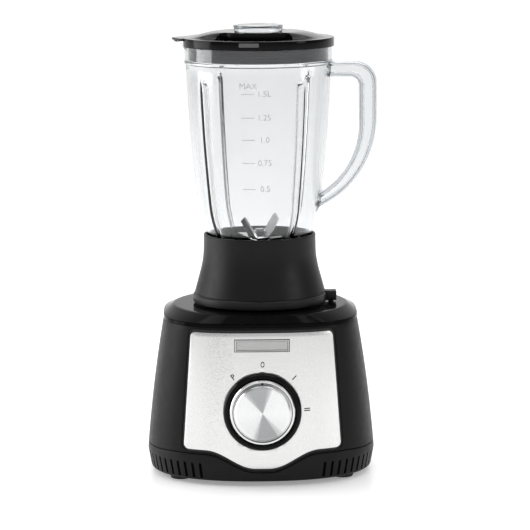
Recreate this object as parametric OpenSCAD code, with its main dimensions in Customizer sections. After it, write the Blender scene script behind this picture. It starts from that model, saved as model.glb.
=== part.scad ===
// Countertop blender: motor base with a dial, clear jug with a handle, blade unit, lid and measuring cap.
// The drive axis is Z, the floor is z = 0, and the front with the dial faces -Y.

/* [Base] */
// Width of the base at its widest, just above the band with the vents
base_w = 211.4; // [196:0.2:256]
// Depth of the base in front of the drive axis
base_front = 87; // [82:1:100]
// Depth of the base behind the drive axis
base_back = 102; // [90:1:115]
// Width of the housing where it meets the deck
top_w = 179; // [174:1:188]
// How much less deep the front is at the top than at the bottom
front_lean = 4; // [0:0.5:8]
// How much less deep the back is at the top than at the bottom
back_lean = 11; // [6:1:16]
// Height of the feet
foot_h = 4.5; // [3:0.5:8]
// Height of the band with the vents
band_h = 17; // [14:1:24]
// Height of the housing above the band
housing_h = 125; // [115:1:150]
// Wall of the housing and the pan
wall = 3; // [2.6:0.2:4]

/* [Front panel] */
// Width of the steel panel at its top corners
panel_top_w = 129; // [110:1:135]
// Width of the steel panel at its bottom corners
panel_bottom_w = 143; // [120:1:150]
// Radius of the panel's corners
panel_corner = 4.6; // [2:0.2:10]
// Thickness of the panel
panel_t = 2; // [1.2:0.2:2.2]
// Width of the dark frame around the panel
frame_w = 2.4; // [1:0.2:4]
// Height that the panel's middle hangs below its corners
panel_dip = 16.3; // [8:0.5:18]

/* [Dial] */
// Height of the dial's axis above the floor
dial_z = 70.3; // [64:0.1:84]
// Tilt of the dial's axis, pointing up
dial_tilt = 2; // [0:0.5:4]
// Radius of the knob's skirt
knob_r = 29.8; // [24:0.2:34]
// Width of the black bezel around the knob
bezel_w = 5.7; // [4:0.1:7]
// Width of the knob's bright ring around its disc
disc_rim = 4.5; // [3:0.1:8]
// Radius of the switch spindle
spindle_r = 3; // [2.5:0.1:4]

/* [Deck and collar] */
// Rise of the deck from the housing to its round plateau
deck_h = 10.5; // [8:0.5:16]
// Radius of the round plateau
plateau_r = 80.6; // [72:0.2:84]
// Radius of the collar's rim, where the jug enters
collar_rim_r = 51.8; // [48:0.2:58]
// Radius of the collar's foot
collar_foot_r = 60.8; // [59:0.2:66]
// Height of the collar from its foot to its rim
collar_h = 54.9; // [50:0.1:66]
// Height of the locking ring below the collar
lock_h = 8.2; // [7:0.1:10]
// How far the locking ring stands out beyond the collar's foot
lock_proud = 1.3; // [1:0.1:3]

/* [Jug] */
// Radius of the jug's upper band, which the lid closes
jug_r = 67.5; // [62:0.1:82]
// Height of the jug above the collar's rim
jug_h = 178.7; // [150:0.1:220]
// Wall of the jug
jug_wall = 3; // [2.2:0.1:4]
// Depth of the ribs inside the jug
rib_d = 5; // [2:0.5:7]
// Width of the ribs
rib_w = 7.5; // [4:0.5:10]
// Reach of the handle beyond the jug's upper band
handle_proud = 41.5; // [34:0.5:48]
// Reach of the pouring lip beyond the jug's upper band
spout_proud = 11.5; // [8:0.5:16]
// Thickness of the handle's grip, seen from the side
grip_t = 15.8; // [12:0.1:18]
// Width of the handle's grip
grip_w = 22; // [16:1:30]
// Turn of the jug on the base, seen from above
jug_turn = -7.5; // [-20:0.5:20]

/* [Lid] */
// Height of the lid's rim
rim_h = 8.8; // [7:0.1:12]
// Wall of the lid
lid_wall = 1.8; // [1.6:0.1:2.4]
// Rise of the lid's hub above the rim
hub_rise = 5; // [3:0.5:8]
// Radius of the lid's hub
hub_r = 36; // [32:0.5:40]
// Width of the finger pockets
pocket_w = 71; // [50:1:76]
// Radius of the measuring cap's body
cap_r = 21.2; // [18:0.2:26]
// Depth of the measuring cap below the hub
cap_depth = 21; // [14:1:28]

/* [Motor] */
// Radius of the motor shaft
shaft_r = 4; // [3:0.5:5]
// Radius of the armature
armature_r = 23.3; // [20:0.1:25]
// Height of the laminated stack
stack_h = 40; // [30:1:46]
// Radial air gap around the armature
air_gap = 0.7; // [0.4:0.1:1]
// Reach of the blades from the shaft
blade_reach = 30; // [22:1:36]

/* [Fits] */
// Radial clearance of a shaft in its bush
run_gap = 0.06; // [0.02:0.01:0.1]
// Clearance between pieces that lift or turn past each other
lift_gap = 0.4; // [0.3:0.05:0.6]

/* [Hidden] */
$fn = 72;
over = 1;

// Heights
band_z = foot_h + band_h;
deck_z = band_z + housing_h;
plateau_z = deck_z + deck_h;
ring_gap = 1.7;
lock_r = collar_foot_r + lock_proud;
lock_z = plateau_z + ring_gap;
collar_z = lock_z + lock_h;
rim_z = collar_z + collar_h;
jug_top = rim_z + jug_h;

// Plan of the base: superellipses whose exponent grows from the floor to the deck
band_taper = 3.2;
side_bulge = 1.6;
plan_low = 2.3;
plan_high = 3;
plan_steps = 56;
loft_zs = [foot_h, (foot_h + band_z) / 2, band_z, for (k = [1:5]) band_z + housing_h * k / 5];
function rise(z) = max(0, (z - band_z) / housing_h);
function taper(z) = band_taper * max(0, (band_z - z) / band_h);
function bulge(z) = 4 * side_bulge * rise(z) * (1 - rise(z));
function half_w(z) = base_w / 2 + (top_w - base_w) / 2 * rise(z) + bulge(z) - taper(z);
function front_d(z) = base_front - front_lean * rise(z) + bulge(z) / 2 - taper(z);
function back_d(z) = base_back - back_lean * rise(z) + bulge(z) - taper(z);
function plan_p(z) = plan_low + (plan_high - plan_low) * rise(z);
function signed_pow(v, p) = sign(v) * pow(abs(v), p);
function oval(a, front, back, p, z) = [
    for (i = [0:plan_steps - 1])
        let (t = 360 * i / plan_steps)
        [a * signed_pow(cos(t), 2 / p), (sin(t) < 0 ? front : back) * signed_pow(sin(t), 2 / p), z]
];
function base_ring(z, inset) = oval(half_w(z) - inset, front_d(z) - inset, back_d(z) - inset, plan_p(z), z);

// Panel and seam
panel_top = deck_z - 4.7;
panel_low = foot_h + 29.3;
dip_in = 6;
dip_out = 52;
panel_inset = panel_t - 0.2;
seam_drop = 4;
seam_gap = 0.4;
seam_side = 26;
function ease(u) = (1 - cos(180 * min(1, max(0, u)))) / 2;
function panel_edge(x) = panel_low - panel_dip * (1 - ease((abs(x) - dip_in) / (dip_out - dip_in)));
function seam(x) =
    let (side = ease((base_w / 2 - 6 - abs(x)) / seam_side))
    band_z + (panel_edge(x) - seam_drop - band_z) * side;

// Dial, in its own frame: w = 0 on the panel's face, w outwards
dial_y = -front_d(dial_z);
bezel_r = knob_r + bezel_w;
disc_r = knob_r - disc_rim;
bezel_proud = 5.3;
knob_low = 1.4;
knob_face = 7;
disc_proud = 5.6;
hub_bore_r = 8;
switch_d = 18;
switch_w = 36;

// Deck
well_r = collar_foot_r - 16.8;
well_z = deck_z + 3.5;
boss_wall = 3.5;
boss_r = well_r + boss_wall;
boss_h = 6;
lug_d = 3;
deck_wall = 2.6;
lip_gap = 0.2;

// Interlock
pin_r = 2.5;
pin_x = lock_r + 3.9;
pin_top = plateau_z + 6.5;
pin_flange_z = plateau_z - 7;
switch_top = plateau_z - 21;
switch_half = 7;
tab_w = 13;
tab_x = lock_r + 8.9;

// Collar and blade unit
collar_wall = 2.5;
collar_bore_r = collar_rim_r - collar_wall;
shelf_z = collar_z + 27;
shelf_t = 4;
carrier_z = shelf_z + shelf_t;
carrier_t = 4;
gasket_t = 2.2;
neck_z = carrier_z + carrier_t + gasket_t;
carrier_r = collar_bore_r - 0.8;
neck_r = collar_bore_r - 1.3;
bush_r = 9;
hub_top = carrier_z + 17;
washer_t = 1.2;
blade_t = 1.8;
blade_z = hub_top + lift_gap + washer_t;
nut_h = 4.6;
blade_w = 13;
bend_x = 7;
function soft(u) = u > 20 ? u : ln(1 + exp(u));
collar_knee = 5;
function flare(z) = soft((rim_z - 23 - z) / collar_knee);
function collar_r(z) = collar_rim_r + (collar_foot_r - collar_rim_r) * flare(z) / flare(collar_z);
collar_zs = [for (k = [0:12]) collar_z + collar_h * k / 12];

// Jug
bead_z = jug_top - 20.7;
bead_d = 0.8;
band_step = 0.7;
curve_top = bead_z - 1;
jug_knee = rim_z + 30;
function jug_out(z) =
    let (u = (curve_top - z) / (curve_top - rim_z), k = max(0, jug_knee - z) / 30)
    jug_r - band_step - 5 * u - (jug_r - band_step - 5 - neck_r - 5.1) * u * u - 5.1 * k * k;
jug_zs = [for (k = [0:18]) rim_z + (curve_top - rim_z) * k / 18];
rib_top = bead_z - 15.3;
rib_angle = 43;
spout_reach = jug_r + spout_proud;
spout_drop = 11;
spout_w = 40;

// Handle
handle_reach = jug_r + handle_proud;
grip_top = bead_z + 1.5;
grip_bar = 13.5;
grip_corner = 19.5;
grip_inner = 7.7;
grip_bend = 90;
grip_bend_z = grip_top - 51.3;
grip_sweep = 68;
web_t = 8;
lip_t = 3.2;

// Lid
lid_z = jug_top - 5.4;
lid_r = jug_r + lift_gap + lid_wall;
rim_top = lid_z + rim_h;
hub_z = rim_top + hub_rise;
plug_r = jug_r - jug_wall - 2.4;
plug_z = lid_z - 12.5;
seal_r = jug_r - jug_wall - 0.3;
pocket_r = lid_r - 9.7;
pocket_d = 8;
cap_wall = 1.8;
cap_top = hub_z + 5.6;
cap_flange = 1.7;

// Motor
stack_z = band_z + 54;
stack_x = 40;
stack_y = 33;
screw_x = 34;
screw_y = 27;
turn_h = 7;
bore_r = armature_r + air_gap;
comm_z = stack_z - 23;
comm_h = 14;
comm_r = 11;
bearing_r = 11;
bearing_h = 7;
lower_z = comm_z - 14;
upper_z = stack_z + stack_h + turn_h + 7;
bracket_t = 4;
fan_z = lower_z - 17;
fan_r = 34;
post_x = 46;
post_y = 19;
coupler_z = plateau_z + 1;
hex_r = 11;
hex_h = 9;
socket_gap = 0.6;
socket_top = coupler_z + hex_h + 1.5;
slots = 12;

mount_h = 6;
board_y = base_back - 38;
board_w = 76;
board_t = 1.6;

foot_r = 9.5;
feet_at = [
    for (s = [-1, 1])
        each [[s * (base_w / 2 - 30.7), 45 - base_front], [s * (base_w / 2 - 39.7), base_back - 34]]
];
boss_x = base_w / 2 - 15;
boss_y = 30;
boss_top = band_z + 24;
boss_out = 5.5;
screw_core_r = 1.6;
floor_t = 2.5;
vent_w = 2.6;
vent_from = 160;
vent_to = 233;
vent_step = 4.56;

badge_w = 49;
badge_h = 10.5;
badge_z = dial_z + 60.2;

gland_r = 6.5;
gland_flange_r = gland_r + 2;
gland_z = foot_h + 10;
cord_r = 3.6;

// Closed solid through rings of points that run anticlockwise, from the lowest ring to the highest
module loft(rings) {
    n = len(rings[0]);
    last = len(rings) - 1;
    polyhedron(
        points = [for (ring = rings) for (p = ring) p],
        faces = [
            [for (i = [0:n - 1]) i],
            [for (i = [n - 1:-1:0]) last * n + i],
            for (k = [0:last - 1])
                for (i = [0:n - 1])
                    each let (a = k * n + i, b = k * n + (i + 1) % n) [[a, a + n, b + n], [a, b + n, b]]
        ]
    );
}

module base_loft(z0, z1, inset = 0) {
    loft([
        base_ring(z0, inset),
        for (z = loft_zs)
            if (z > z0 + 1 && z < z1 - 1)
                base_ring(z, inset),
        base_ring(z1, inset)
    ]);
}

// Layer of the base's surface between two insets
module skin(z0, z1, inset0, inset1) {
    difference() {
        base_loft(z0, z1, inset0);
        base_loft(z0 - over, z1 + over, inset1);
    }
}

// Outline of the panel seen from the front, grown by g
module panel_outline(g) {
    r = panel_corner + g;
    top = panel_top + g;
    half_top = panel_top_w / 2 + g - r;
    half_low = panel_bottom_w / 2 + g - r;
    low = panel_low - g + r;
    polygon([
        for (a = [0:15:90]) [half_top + r * cos(a), top - r + r * sin(a)],
        for (a = [90:15:180]) [-half_top + r * cos(a), top - r + r * sin(a)],
        for (a = [180:15:270]) [-half_low + r * cos(a), low + r * sin(a)],
        for (x = [-dip_out:4:dip_out]) [x, panel_edge(x) - g],
        for (a = [270:15:360]) [half_low + r * cos(a), low + r * sin(a)]
    ]);
}

module panel_prism(g) {
    rotate([90, 0, 0])
        linear_extrude(height = base_front + 20)
            panel_outline(g);
}

// Everything below the wavy seam in front and the level seam behind, moved up by dz
module below_seam(dz) {
    half = base_w / 2 + 10;
    rotate([90, 0, 0])
        linear_extrude(height = base_front + 20)
            polygon([
                [-half, -over],
                [-half, band_z + dz],
                for (x = [-base_w / 2 + 4:5:base_w / 2 - 4]) [x, seam(x) + dz],
                [half, band_z + dz],
                [half, -over]
            ]);
    translate([-half, 0, -over])
        cube([2 * half, base_back + 20, band_z + dz + over]);
}

module at_dial(w = 0) {
    translate([0, dial_y, dial_z])
        rotate([90 - dial_tilt, 0, 0])
            translate([0, 0, w])
                children();
}

module ring(r_out, r_in, h) {
    difference() {
        cylinder(r = r_out, h = h);
        translate([0, 0, -over])
            cylinder(r = r_in, h = h + 2 * over);
    }
}

module at_feet() {
    for (p = feet_at)
        translate([p[0], p[1], 0])
            children();
}

module at_corners(x, y) {
    for (sx = [-1, 1])
        for (sy = [-1, 1])
            translate([sx * x, sy * y, 0])
                children();
}

// Round wire wound as a helix
module coil_spring(r, wire, z0, z1, turns) {
    steps = 12 * turns;
    sides = 6;
    loop = [
        for (i = [0:steps])
            let (a = 360 * turns * i / steps, z = z0 + (z1 - z0) * i / steps)
            [for (j = [0:sides - 1])
                let (b = 360 * j / sides, q = r + wire * cos(b))
                [q * cos(a), q * sin(a), z + wire * sin(b)]]
    ];
    polyhedron(
        points = [for (ring = loop) for (p = ring) p],
        faces = [
            [for (j = [0:sides - 1]) j],
            [for (j = [sides - 1:-1:0]) steps * sides + j],
            for (k = [0:steps - 1])
                for (j = [0:sides - 1])
                    each let (a = k * sides + j, b = k * sides + (j + 1) % sides)
                        [[a, a + sides, b + sides], [a, b + sides, b]]
        ]
    );
}

// ---- Base ----

// Screw bosses between two heights, each tied to the side wall by a rib
module bosses(z0, z1) {
    intersection() {
        base_loft(z0, z1, wall / 2);
        union() {
            at_corners(boss_x, boss_y)
                cylinder(r = boss_out, h = z1);
            for (sx = [-1, 1])
                for (sy = [-1, 1])
                    translate([sx * (boss_x + 10) - 10, sy * boss_y - 1.5, 0])
                        cube([20, 3, z1]);
        }
    }
}

// Hole for the cord gland, with flat seats for its flanges inside and outside the wall
module gland_seat() {
    room = gland_flange_r + 0.2;
    translate([0, back_d(gland_z), gland_z])
        rotate([-90, 0, 0]) {
            translate([0, 0, -25])
                cylinder(r = gland_r, h = 40);
            cylinder(r = room, h = 20);
            translate([0, 0, -25])
                cylinder(r = room, h = 25 - wall);
        }
}

module motor_housing() {
    color([0.13, 0.13, 0.14])
        difference() {
            union() {
                skin(foot_h + 5, deck_z, 0, wall);
                bosses(band_z + seam_gap, boss_top);
            }
            below_seam(0);
            intersection() {
                panel_prism(frame_w);
                skin(foot_h, deck_z, -5, panel_inset);
            }
            at_dial(-wall - 5)
                cylinder(r = hub_bore_r, h = wall + 10);
            at_corners(boss_x, boss_y)
                cylinder(r = screw_core_r, h = boss_top - 3);
            gland_seat();
        }
}

module vents() {
    for (side = [0, 1])
        mirror([side, 0, 0])
            for (a = [vent_from:vent_step:vent_to])
                rotate([0, 0, a])
                    translate([60, -vent_w / 2, foot_h + 3.5])
                        cube([60, vent_w, band_h - 6]);
}

module base_pan() {
    color([0.1, 0.1, 0.1])
        difference() {
            union() {
                difference() {
                    skin(foot_h, panel_low, 0, wall);
                    vents();
                }
                base_loft(foot_h, foot_h + floor_t, wall / 2);
                bosses(foot_h, band_z);
                at_corners(post_x, post_y)
                    translate([0, 0, foot_h + over])
                        cylinder(r = 5, h = lower_z - mount_h - foot_h - over);
                for (x = [-board_w / 2, board_w / 2 - 4])
                    translate([x, board_y - 2, foot_h + over])
                        cube([4, board_t + 4, 10]);
            }
            difference() {
                translate([-base_w, -base_w, band_z - 12])
                    cube([2 * base_w, 2 * base_w, 60]);
                below_seam(-seam_gap);
                at_corners(post_x, post_y)
                    cylinder(r = 6, h = lower_z);
            }
            at_corners(boss_x, boss_y) {
                translate([0, 0, foot_h - over])
                    cylinder(r = 4, h = 4 + over);
                cylinder(r = 2.2, h = band_z + over);
            }
            translate([-board_w / 2, board_y, foot_h + floor_t])
                cube([board_w, board_t, 30]);
            gland_seat();
        }
}

module top_deck() {
    low = [half_w(deck_z) + 0.5, front_d(deck_z) + 0.5, back_d(deck_z) + 0.5];
    shoulder = deck_z + 3.5;
    edge = wall + 1.6;
    color([0.05, 0.05, 0.055])
        difference() {
            union() {
                difference() {
                    loft([
                        oval(low[0], low[1], low[2], plan_high, deck_z),
                        oval(low[0] - 0.2, low[1] - 0.2, low[2] - 0.2, plan_high, shoulder),
                        oval(plateau_r, plateau_r, plateau_r, 2, plateau_z)
                    ]);
                    loft([
                        oval(low[0] - edge, low[1] - edge, low[2] - edge, plan_high, deck_z - over),
                        oval(low[0] - edge, low[1] - edge, low[2] - edge, plan_high, shoulder - 1.2),
                        oval(plateau_r - 4, plateau_r - 4, plateau_r - 4, 2, plateau_z - deck_wall)
                    ]);
                }
                skin(deck_z - 6, deck_z + 2, wall + lip_gap, wall + lip_gap + 2);
                translate([0, 0, well_z - deck_wall])
                    cylinder(r = boss_r, h = plateau_z + boss_h - well_z + deck_wall);
                for (a = [30, 150, 270])
                    rotate([0, 0, a])
                        translate([boss_r - over, -5, plateau_z + 1.8])
                            cube([lug_d + over, 10, 3]);
                translate([pin_x, 0, pin_flange_z + 2.2])
                    cylinder(r = pin_r + 2, h = plateau_z - pin_flange_z - 2.2);
                translate([pin_x - switch_half - 3, -switch_half, switch_top - 12])
                    cube([3, 2 * switch_half, plateau_z - switch_top + 11]);
            }
            translate([0, 0, well_z])
                cylinder(r = well_r, h = 30);
            translate([0, 0, well_z - 10])
                cylinder(r = shaft_r + 2.5, h = 20);
            translate([pin_x, 0, plateau_z - 30])
                cylinder(r = pin_r + 0.08, h = 60);
        }
}

module front_panel() {
    color([0.78, 0.78, 0.77])
        difference() {
            intersection() {
                panel_prism(0);
                skin(foot_h, deck_z, panel_inset - panel_t, panel_inset);
            }
            at_dial(-wall - 5)
                cylinder(r = bezel_r + 0.05, h = 20);
        }
}

module panel_frame() {
    color([0.02, 0.02, 0.02])
        intersection() {
            difference() {
                panel_prism(frame_w - 0.1);
                translate([0, over, 0])
                    panel_prism(0.05);
            }
            skin(foot_h, deck_z, panel_inset - 1, panel_inset);
        }
}

module badge_plate() {
    face = -front_d(badge_z) - 1.2;
    color([0.7, 0.7, 0.7])
        difference() {
            translate([-badge_w / 2, face, badge_z - badge_h / 2])
                cube([badge_w, 4, badge_h]);
            base_loft(badge_z - 20, deck_z, panel_inset - panel_t);
            translate([-badge_w / 2 + 1.2, face - over, badge_z - badge_h / 2 + 1.2])
                cube([badge_w - 2.4, over + 0.4, badge_h - 2.4]);
        }
}

module dial_bezel() {
    color([0.03, 0.03, 0.03])
        difference() {
            at_dial()
                rotate_extrude()
                    polygon([
                        [hub_bore_r + 3, -6],
                        [bezel_r, -6],
                        [bezel_r, bezel_proud - 3],
                        [bezel_r - 1.2, bezel_proud - 0.8],
                        [knob_r + 1.9, bezel_proud],
                        [knob_r + 0.5, bezel_proud - 0.6],
                        [knob_r + 0.5, 0.9],
                        [hub_bore_r + 3, 0.9]
                    ]);
            base_loft(foot_h, deck_z, panel_inset);
        }
}

module rubber_feet() {
    color([0.07, 0.07, 0.07])
        at_feet()
            rotate_extrude()
                polygon([[0, 0], [foot_r - 1, 0], [foot_r, 1], [foot_r, foot_h], [0, foot_h]]);
}

module base_screws() {
    color([0.6, 0.6, 0.62])
        at_corners(boss_x, boss_y)
            translate([0, 0, foot_h + 1.4]) {
                cylinder(r = 3.5, h = 2.6);
                cylinder(r = screw_core_r, h = 26);
            }
}

module cord_gland() {
    inside = 10;
    color([0.04, 0.04, 0.04])
        translate([0, back_d(gland_z) - inside, gland_z])
            rotate([-90, 0, 0])
                difference() {
                    union() {
                        cylinder(r = gland_r, h = inside + 1);
                        translate([0, 0, inside])
                            cylinder(r = gland_flange_r, h = 2);
                        cylinder(r = gland_flange_r, h = inside - wall);
                    }
                    translate([0, 0, -over])
                        cylinder(r = cord_r, h = 20);
                }
}

module drip_seal() {
    color([0.25, 0.25, 0.25])
        translate([0, 0, well_z])
            ring(shaft_r + 8, shaft_r + 0.5, 2.4);
}

// ---- Motor ----

// The windows of the stack that the field windings fill
module windings_plan(d) {
    for (sx = [-1, 1])
        for (sy = [-1, 1])
            translate([sx * 21, sy * 23.5])
                square([9 + d, 9 + d], center = true);
}

module stator_core() {
    color([0.45, 0.45, 0.47])
        translate([0, 0, stack_z])
            linear_extrude(height = stack_h)
                difference() {
                    square([2 * stack_x, 2 * stack_y], center = true);
                    circle(r = bore_r);
                    windings_plan(0.4);
                    for (sx = [-1, 1])
                        for (sy = [-1, 1])
                            translate([sx * screw_x, sy * screw_y])
                                circle(r = 2.2);
                }
}

module field_windings() {
    color([0.65, 0.33, 0.14]) {
        translate([0, 0, stack_z - turn_h])
            linear_extrude(height = stack_h + 2 * turn_h)
                windings_plan(0);
        for (z = [stack_z - turn_h, stack_z + stack_h + 0.5])
            translate([0, 0, z])
                for (sx = [-1, 1])
                    translate([sx * 21 - 4.5, -26, 0])
                        difference() {
                            cube([9, 52, turn_h - 0.5]);
                            translate([4.5 - sx * 21, 26, -over])
                                cylinder(r = bore_r, h = turn_h + 2 * over);
                        }
    }
}

// A bracket: a bridge across the stack with a seat for its bearing
module bracket(z, x, y) {
    translate([0, 0, z])
        difference() {
            union() {
                translate([-x, -y, 0])
                    cube([2 * x, 2 * y, bracket_t]);
                cylinder(r = bearing_r + 4, h = bearing_h);
            }
            translate([0, 0, -over])
                cylinder(r = bearing_r, h = bearing_h + 2 * over);
            translate([0, 0, -over])
                at_corners(screw_x, screw_y)
                    cylinder(r = 2, h = 20);
        }
}

module upper_bracket() {
    color([0.62, 0.63, 0.65])
        bracket(upper_z, stack_x, stack_y);
}

module lower_bracket() {
    color([0.62, 0.63, 0.65])
        bracket(lower_z, post_x + 7, stack_y);
}

module bearing(z) {
    translate([0, 0, z]) {
        ring(bearing_r, bearing_r - 2.2, bearing_h);
        ring(shaft_r + 2.4, shaft_r + run_gap, bearing_h);
        translate([0, 0, 1])
            ring(bearing_r - 2.2, shaft_r + 2.4, bearing_h - 2);
    }
}

module upper_bearing() {
    color([0.75, 0.75, 0.77])
        bearing(upper_z);
}

module lower_bearing() {
    color([0.75, 0.75, 0.77])
        bearing(lower_z);
}

module motor_mounts() {
    color([0.08, 0.08, 0.08])
        at_corners(post_x, post_y)
            translate([0, 0, lower_z - mount_h])
                cylinder(r = 6.5, h = mount_h);
}

module motor_screws() {
    color([0.6, 0.6, 0.62])
        at_corners(screw_x, screw_y) {
            translate([0, 0, lower_z - 3])
                cylinder(r = 1.9, h = upper_z - lower_z + bracket_t + 3);
            translate([0, 0, upper_z + bracket_t])
                cylinder(r = 3.6, h = 2.6);
            translate([0, 0, lower_z - 3])
                cylinder(r = 3.6, h = 3);
        }
}

module at_brushes() {
    for (a = [0, 180])
        rotate([0, 0, a])
            translate([comm_r + 0.3, 0, comm_z + comm_h / 2])
                children();
}

module brush_holders() {
    color([0.72, 0.58, 0.25])
        at_brushes()
            difference() {
                translate([2, -5, -6])
                    cube([22, 10, 12]);
                translate([0, -3.2, -4.2])
                    cube([21, 6.4, 8.4]);
            }
    color([0.72, 0.58, 0.25])
        at_brushes()
            translate([20, -5, -comm_h / 2 - comm_z + lower_z + bracket_t])
                cube([4, 10, comm_z + comm_h / 2 - lower_z - bracket_t - 5]);
}

module carbon_brushes() {
    color([0.1, 0.1, 0.1])
        at_brushes()
            translate([0, -3.1, -4.1])
                cube([18, 6.2, 8.2]);
}

module selector_switch() {
    depth = wall + 1;
    color([0.2, 0.2, 0.22])
        at_dial(-depth - switch_d)
            difference() {
                union() {
                    translate([-switch_w / 2, -switch_w / 2, 0])
                        cube([switch_w, switch_w, switch_d - 2]);
                    cylinder(r = hub_bore_r - 1, h = switch_d);
                }
                translate([0, 0, 3])
                    cylinder(r = spindle_r + run_gap, h = switch_d);
            }
}

module control_board() {
    color([0.1, 0.3, 0.16])
        translate([-board_w / 2, board_y, foot_h + floor_t])
            cube([board_w, board_t, 96]);
}

module board_parts() {
    color([0.2, 0.22, 0.28]) {
        translate([-16, board_y, foot_h + 78])
            rotate([90, 0, 0])
                cylinder(r = 7, h = 14);
        translate([8, board_y - 12, foot_h + 64])
            cube([22, 12, 24]);
        translate([-30, board_y - 9, foot_h + 40])
            cube([18, 9, 12]);
        translate([6, board_y - 8, foot_h + 42])
            cube([26, 8, 8]);
    }
}

module interlock_switch() {
    color([0.3, 0.3, 0.32])
        difference() {
            translate([pin_x - switch_half, -switch_half, switch_top - 16])
                cube([2 * switch_half, 2 * switch_half, 16]);
            translate([pin_x, 0, switch_top - 10])
                cylinder(r = pin_r + run_gap, h = 20);
        }
}

module interlock_pin() {
    color([0.12, 0.12, 0.12])
        translate([pin_x, 0, 0]) {
            translate([0, 0, switch_top - 5])
                cylinder(r = pin_r, h = pin_top - switch_top + 5);
            translate([0, 0, pin_flange_z])
                cylinder(r = pin_r + 2, h = 1.5);
        }
}

module interlock_spring() {
    wire = 0.4;
    color([0.7, 0.7, 0.72])
        translate([pin_x, 0, 0])
            coil_spring(pin_r + 0.8, wire, switch_top + wire, pin_flange_z - wire, 6);
}

// ---- Knob ----

module knob_body() {
    color([0.8, 0.8, 0.81])
        at_dial()
            rotate_extrude()
                polygon([
                    [spindle_r, -2],
                    [spindle_r, knob_face - 1],
                    [0, knob_face - 1],
                    [0, knob_face],
                    [disc_r + 0.8, knob_face],
                    [disc_r + 1.4, knob_face + 0.6],
                    [knob_r - 1, knob_face + 0.6],
                    [knob_r, knob_face - 0.6],
                    [knob_r, knob_low],
                    [knob_r - 2, knob_low],
                    [knob_r - 2, knob_face - 2],
                    [spindle_r + 2.6, knob_face - 2],
                    [spindle_r + 2.6, -2]
                ]);
}

module knob_disc() {
    color([0.85, 0.85, 0.86])
        at_dial(knob_face)
            rotate_extrude()
                polygon([
                    [0, 0],
                    [disc_r, 0],
                    [disc_r, disc_proud - 1],
                    [disc_r - 1, disc_proud],
                    [0, disc_proud]
                ]);
}

module knob_spindle() {
    color([0.66, 0.66, 0.68])
        at_dial(-wall - switch_d + 4)
            cylinder(r = spindle_r, h = wall + switch_d - 4 + knob_face - 1);
}

// ---- Rotor ----

module motor_shaft() {
    color([0.7, 0.7, 0.72])
        translate([0, 0, fan_z - 2])
            cylinder(r = shaft_r, h = coupler_z + hex_h - fan_z - 2);
}

module slot_bars(extra) {
    for (k = [0:slots - 1])
        rotate([0, 0, 360 * k / slots])
            translate([armature_r - 8, -1.6, 0])
                cube([5.5, 3.2, stack_h + extra]);
}

module armature_core() {
    color([0.5, 0.5, 0.52])
        translate([0, 0, stack_z])
            difference() {
                ring(armature_r, shaft_r, stack_h);
                translate([0, 0, -over])
                    slot_bars(2 * over);
            }
}

module armature_windings() {
    color([0.7, 0.36, 0.16])
        translate([0, 0, stack_z]) {
            slot_bars(0);
            for (z = [-turn_h + 1, stack_h])
                translate([0, 0, z])
                    ring(armature_r - 2.5, armature_r - 12, turn_h - 1);
        }
}

module commutator() {
    color([0.72, 0.45, 0.25])
        translate([0, 0, comm_z])
            ring(comm_r, shaft_r, comm_h);
}

module cooling_fan() {
    color([0.85, 0.85, 0.82])
        translate([0, 0, fan_z]) {
            ring(shaft_r + 4, shaft_r, 12);
            ring(fan_r, shaft_r + 3, 1.6);
            for (k = [0:8])
                rotate([0, 0, 40 * k])
                    translate([shaft_r + 3, -0.8, 0.8])
                        cube([fan_r - shaft_r - 4, 1.6, 10]);
        }
}

module drive_coupler() {
    color([0.06, 0.06, 0.06])
        translate([0, 0, coupler_z])
            difference() {
                union() {
                    cylinder(r = hex_r, h = hex_h, $fn = 6);
                    translate([0, 0, -3])
                        cylinder(r = hex_r + 5, h = 3);
                }
                translate([0, 0, -4])
                    cylinder(r = shaft_r, h = hex_h);
            }
}

// ---- Blade unit ----

module jug_collar() {
    inner = [for (z = collar_zs) if (z < shelf_z - 2) [collar_r(z) - collar_wall, z]];
    mark_h = 11;
    color([0.1, 0.1, 0.105]) {
        rotate_extrude()
            polygon([
                for (z = collar_zs) if (z < rim_z - 1) [collar_r(z), z],
                [collar_rim_r, rim_z - 1],
                [collar_rim_r - 0.8, rim_z],
                [collar_bore_r + 0.5, rim_z],
                [collar_bore_r, rim_z - 0.5],
                [collar_bore_r, shelf_z + shelf_t],
                [carrier_r - 8, shelf_z + shelf_t],
                [carrier_r - 8, shelf_z],
                [collar_r(shelf_z) - collar_wall, shelf_z],
                for (k = [len(inner) - 1:-1:0]) inner[k]
            ]);
        rotate([0, 0, -91.5])
            rotate_extrude(angle = 3)
                polygon([
                    [collar_r(collar_z) - 1, collar_z],
                    [collar_r(collar_z) + 0.6, collar_z],
                    [collar_r(collar_z + mark_h) + 0.6, collar_z + mark_h],
                    [collar_r(collar_z + mark_h) - 1, collar_z + mark_h]
                ]);
    }
}

module locking_ring() {
    inner_r = boss_r + lug_d + 1;
    color([0.12, 0.12, 0.125]) {
        rotate_extrude()
            polygon([
                [inner_r, lock_z],
                [lock_r - 0.8, lock_z],
                [lock_r, lock_z + 0.8],
                [lock_r, collar_z - 1.6],
                [lock_r - 1.6, collar_z],
                [collar_foot_r - collar_wall - 1.6, collar_z],
                [collar_foot_r - collar_wall - 1.6, collar_z + 5],
                [collar_foot_r - collar_wall - 3.6, collar_z + 5],
                [collar_foot_r - collar_wall - 3.6, lock_z + 3],
                [inner_r, lock_z + 3]
            ]);
        difference() {
            translate([lock_r - 2, -tab_w / 2, lock_z])
                cube([tab_x - lock_r + 2, tab_w, lock_h + 0.6]);
            translate([lock_r - 3, -tab_w / 2 + 1.8, lock_z - over])
                cube([tab_x - lock_r + 1.4, tab_w - 3.6, lock_h - 1.6]);
        }
    }
}

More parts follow.
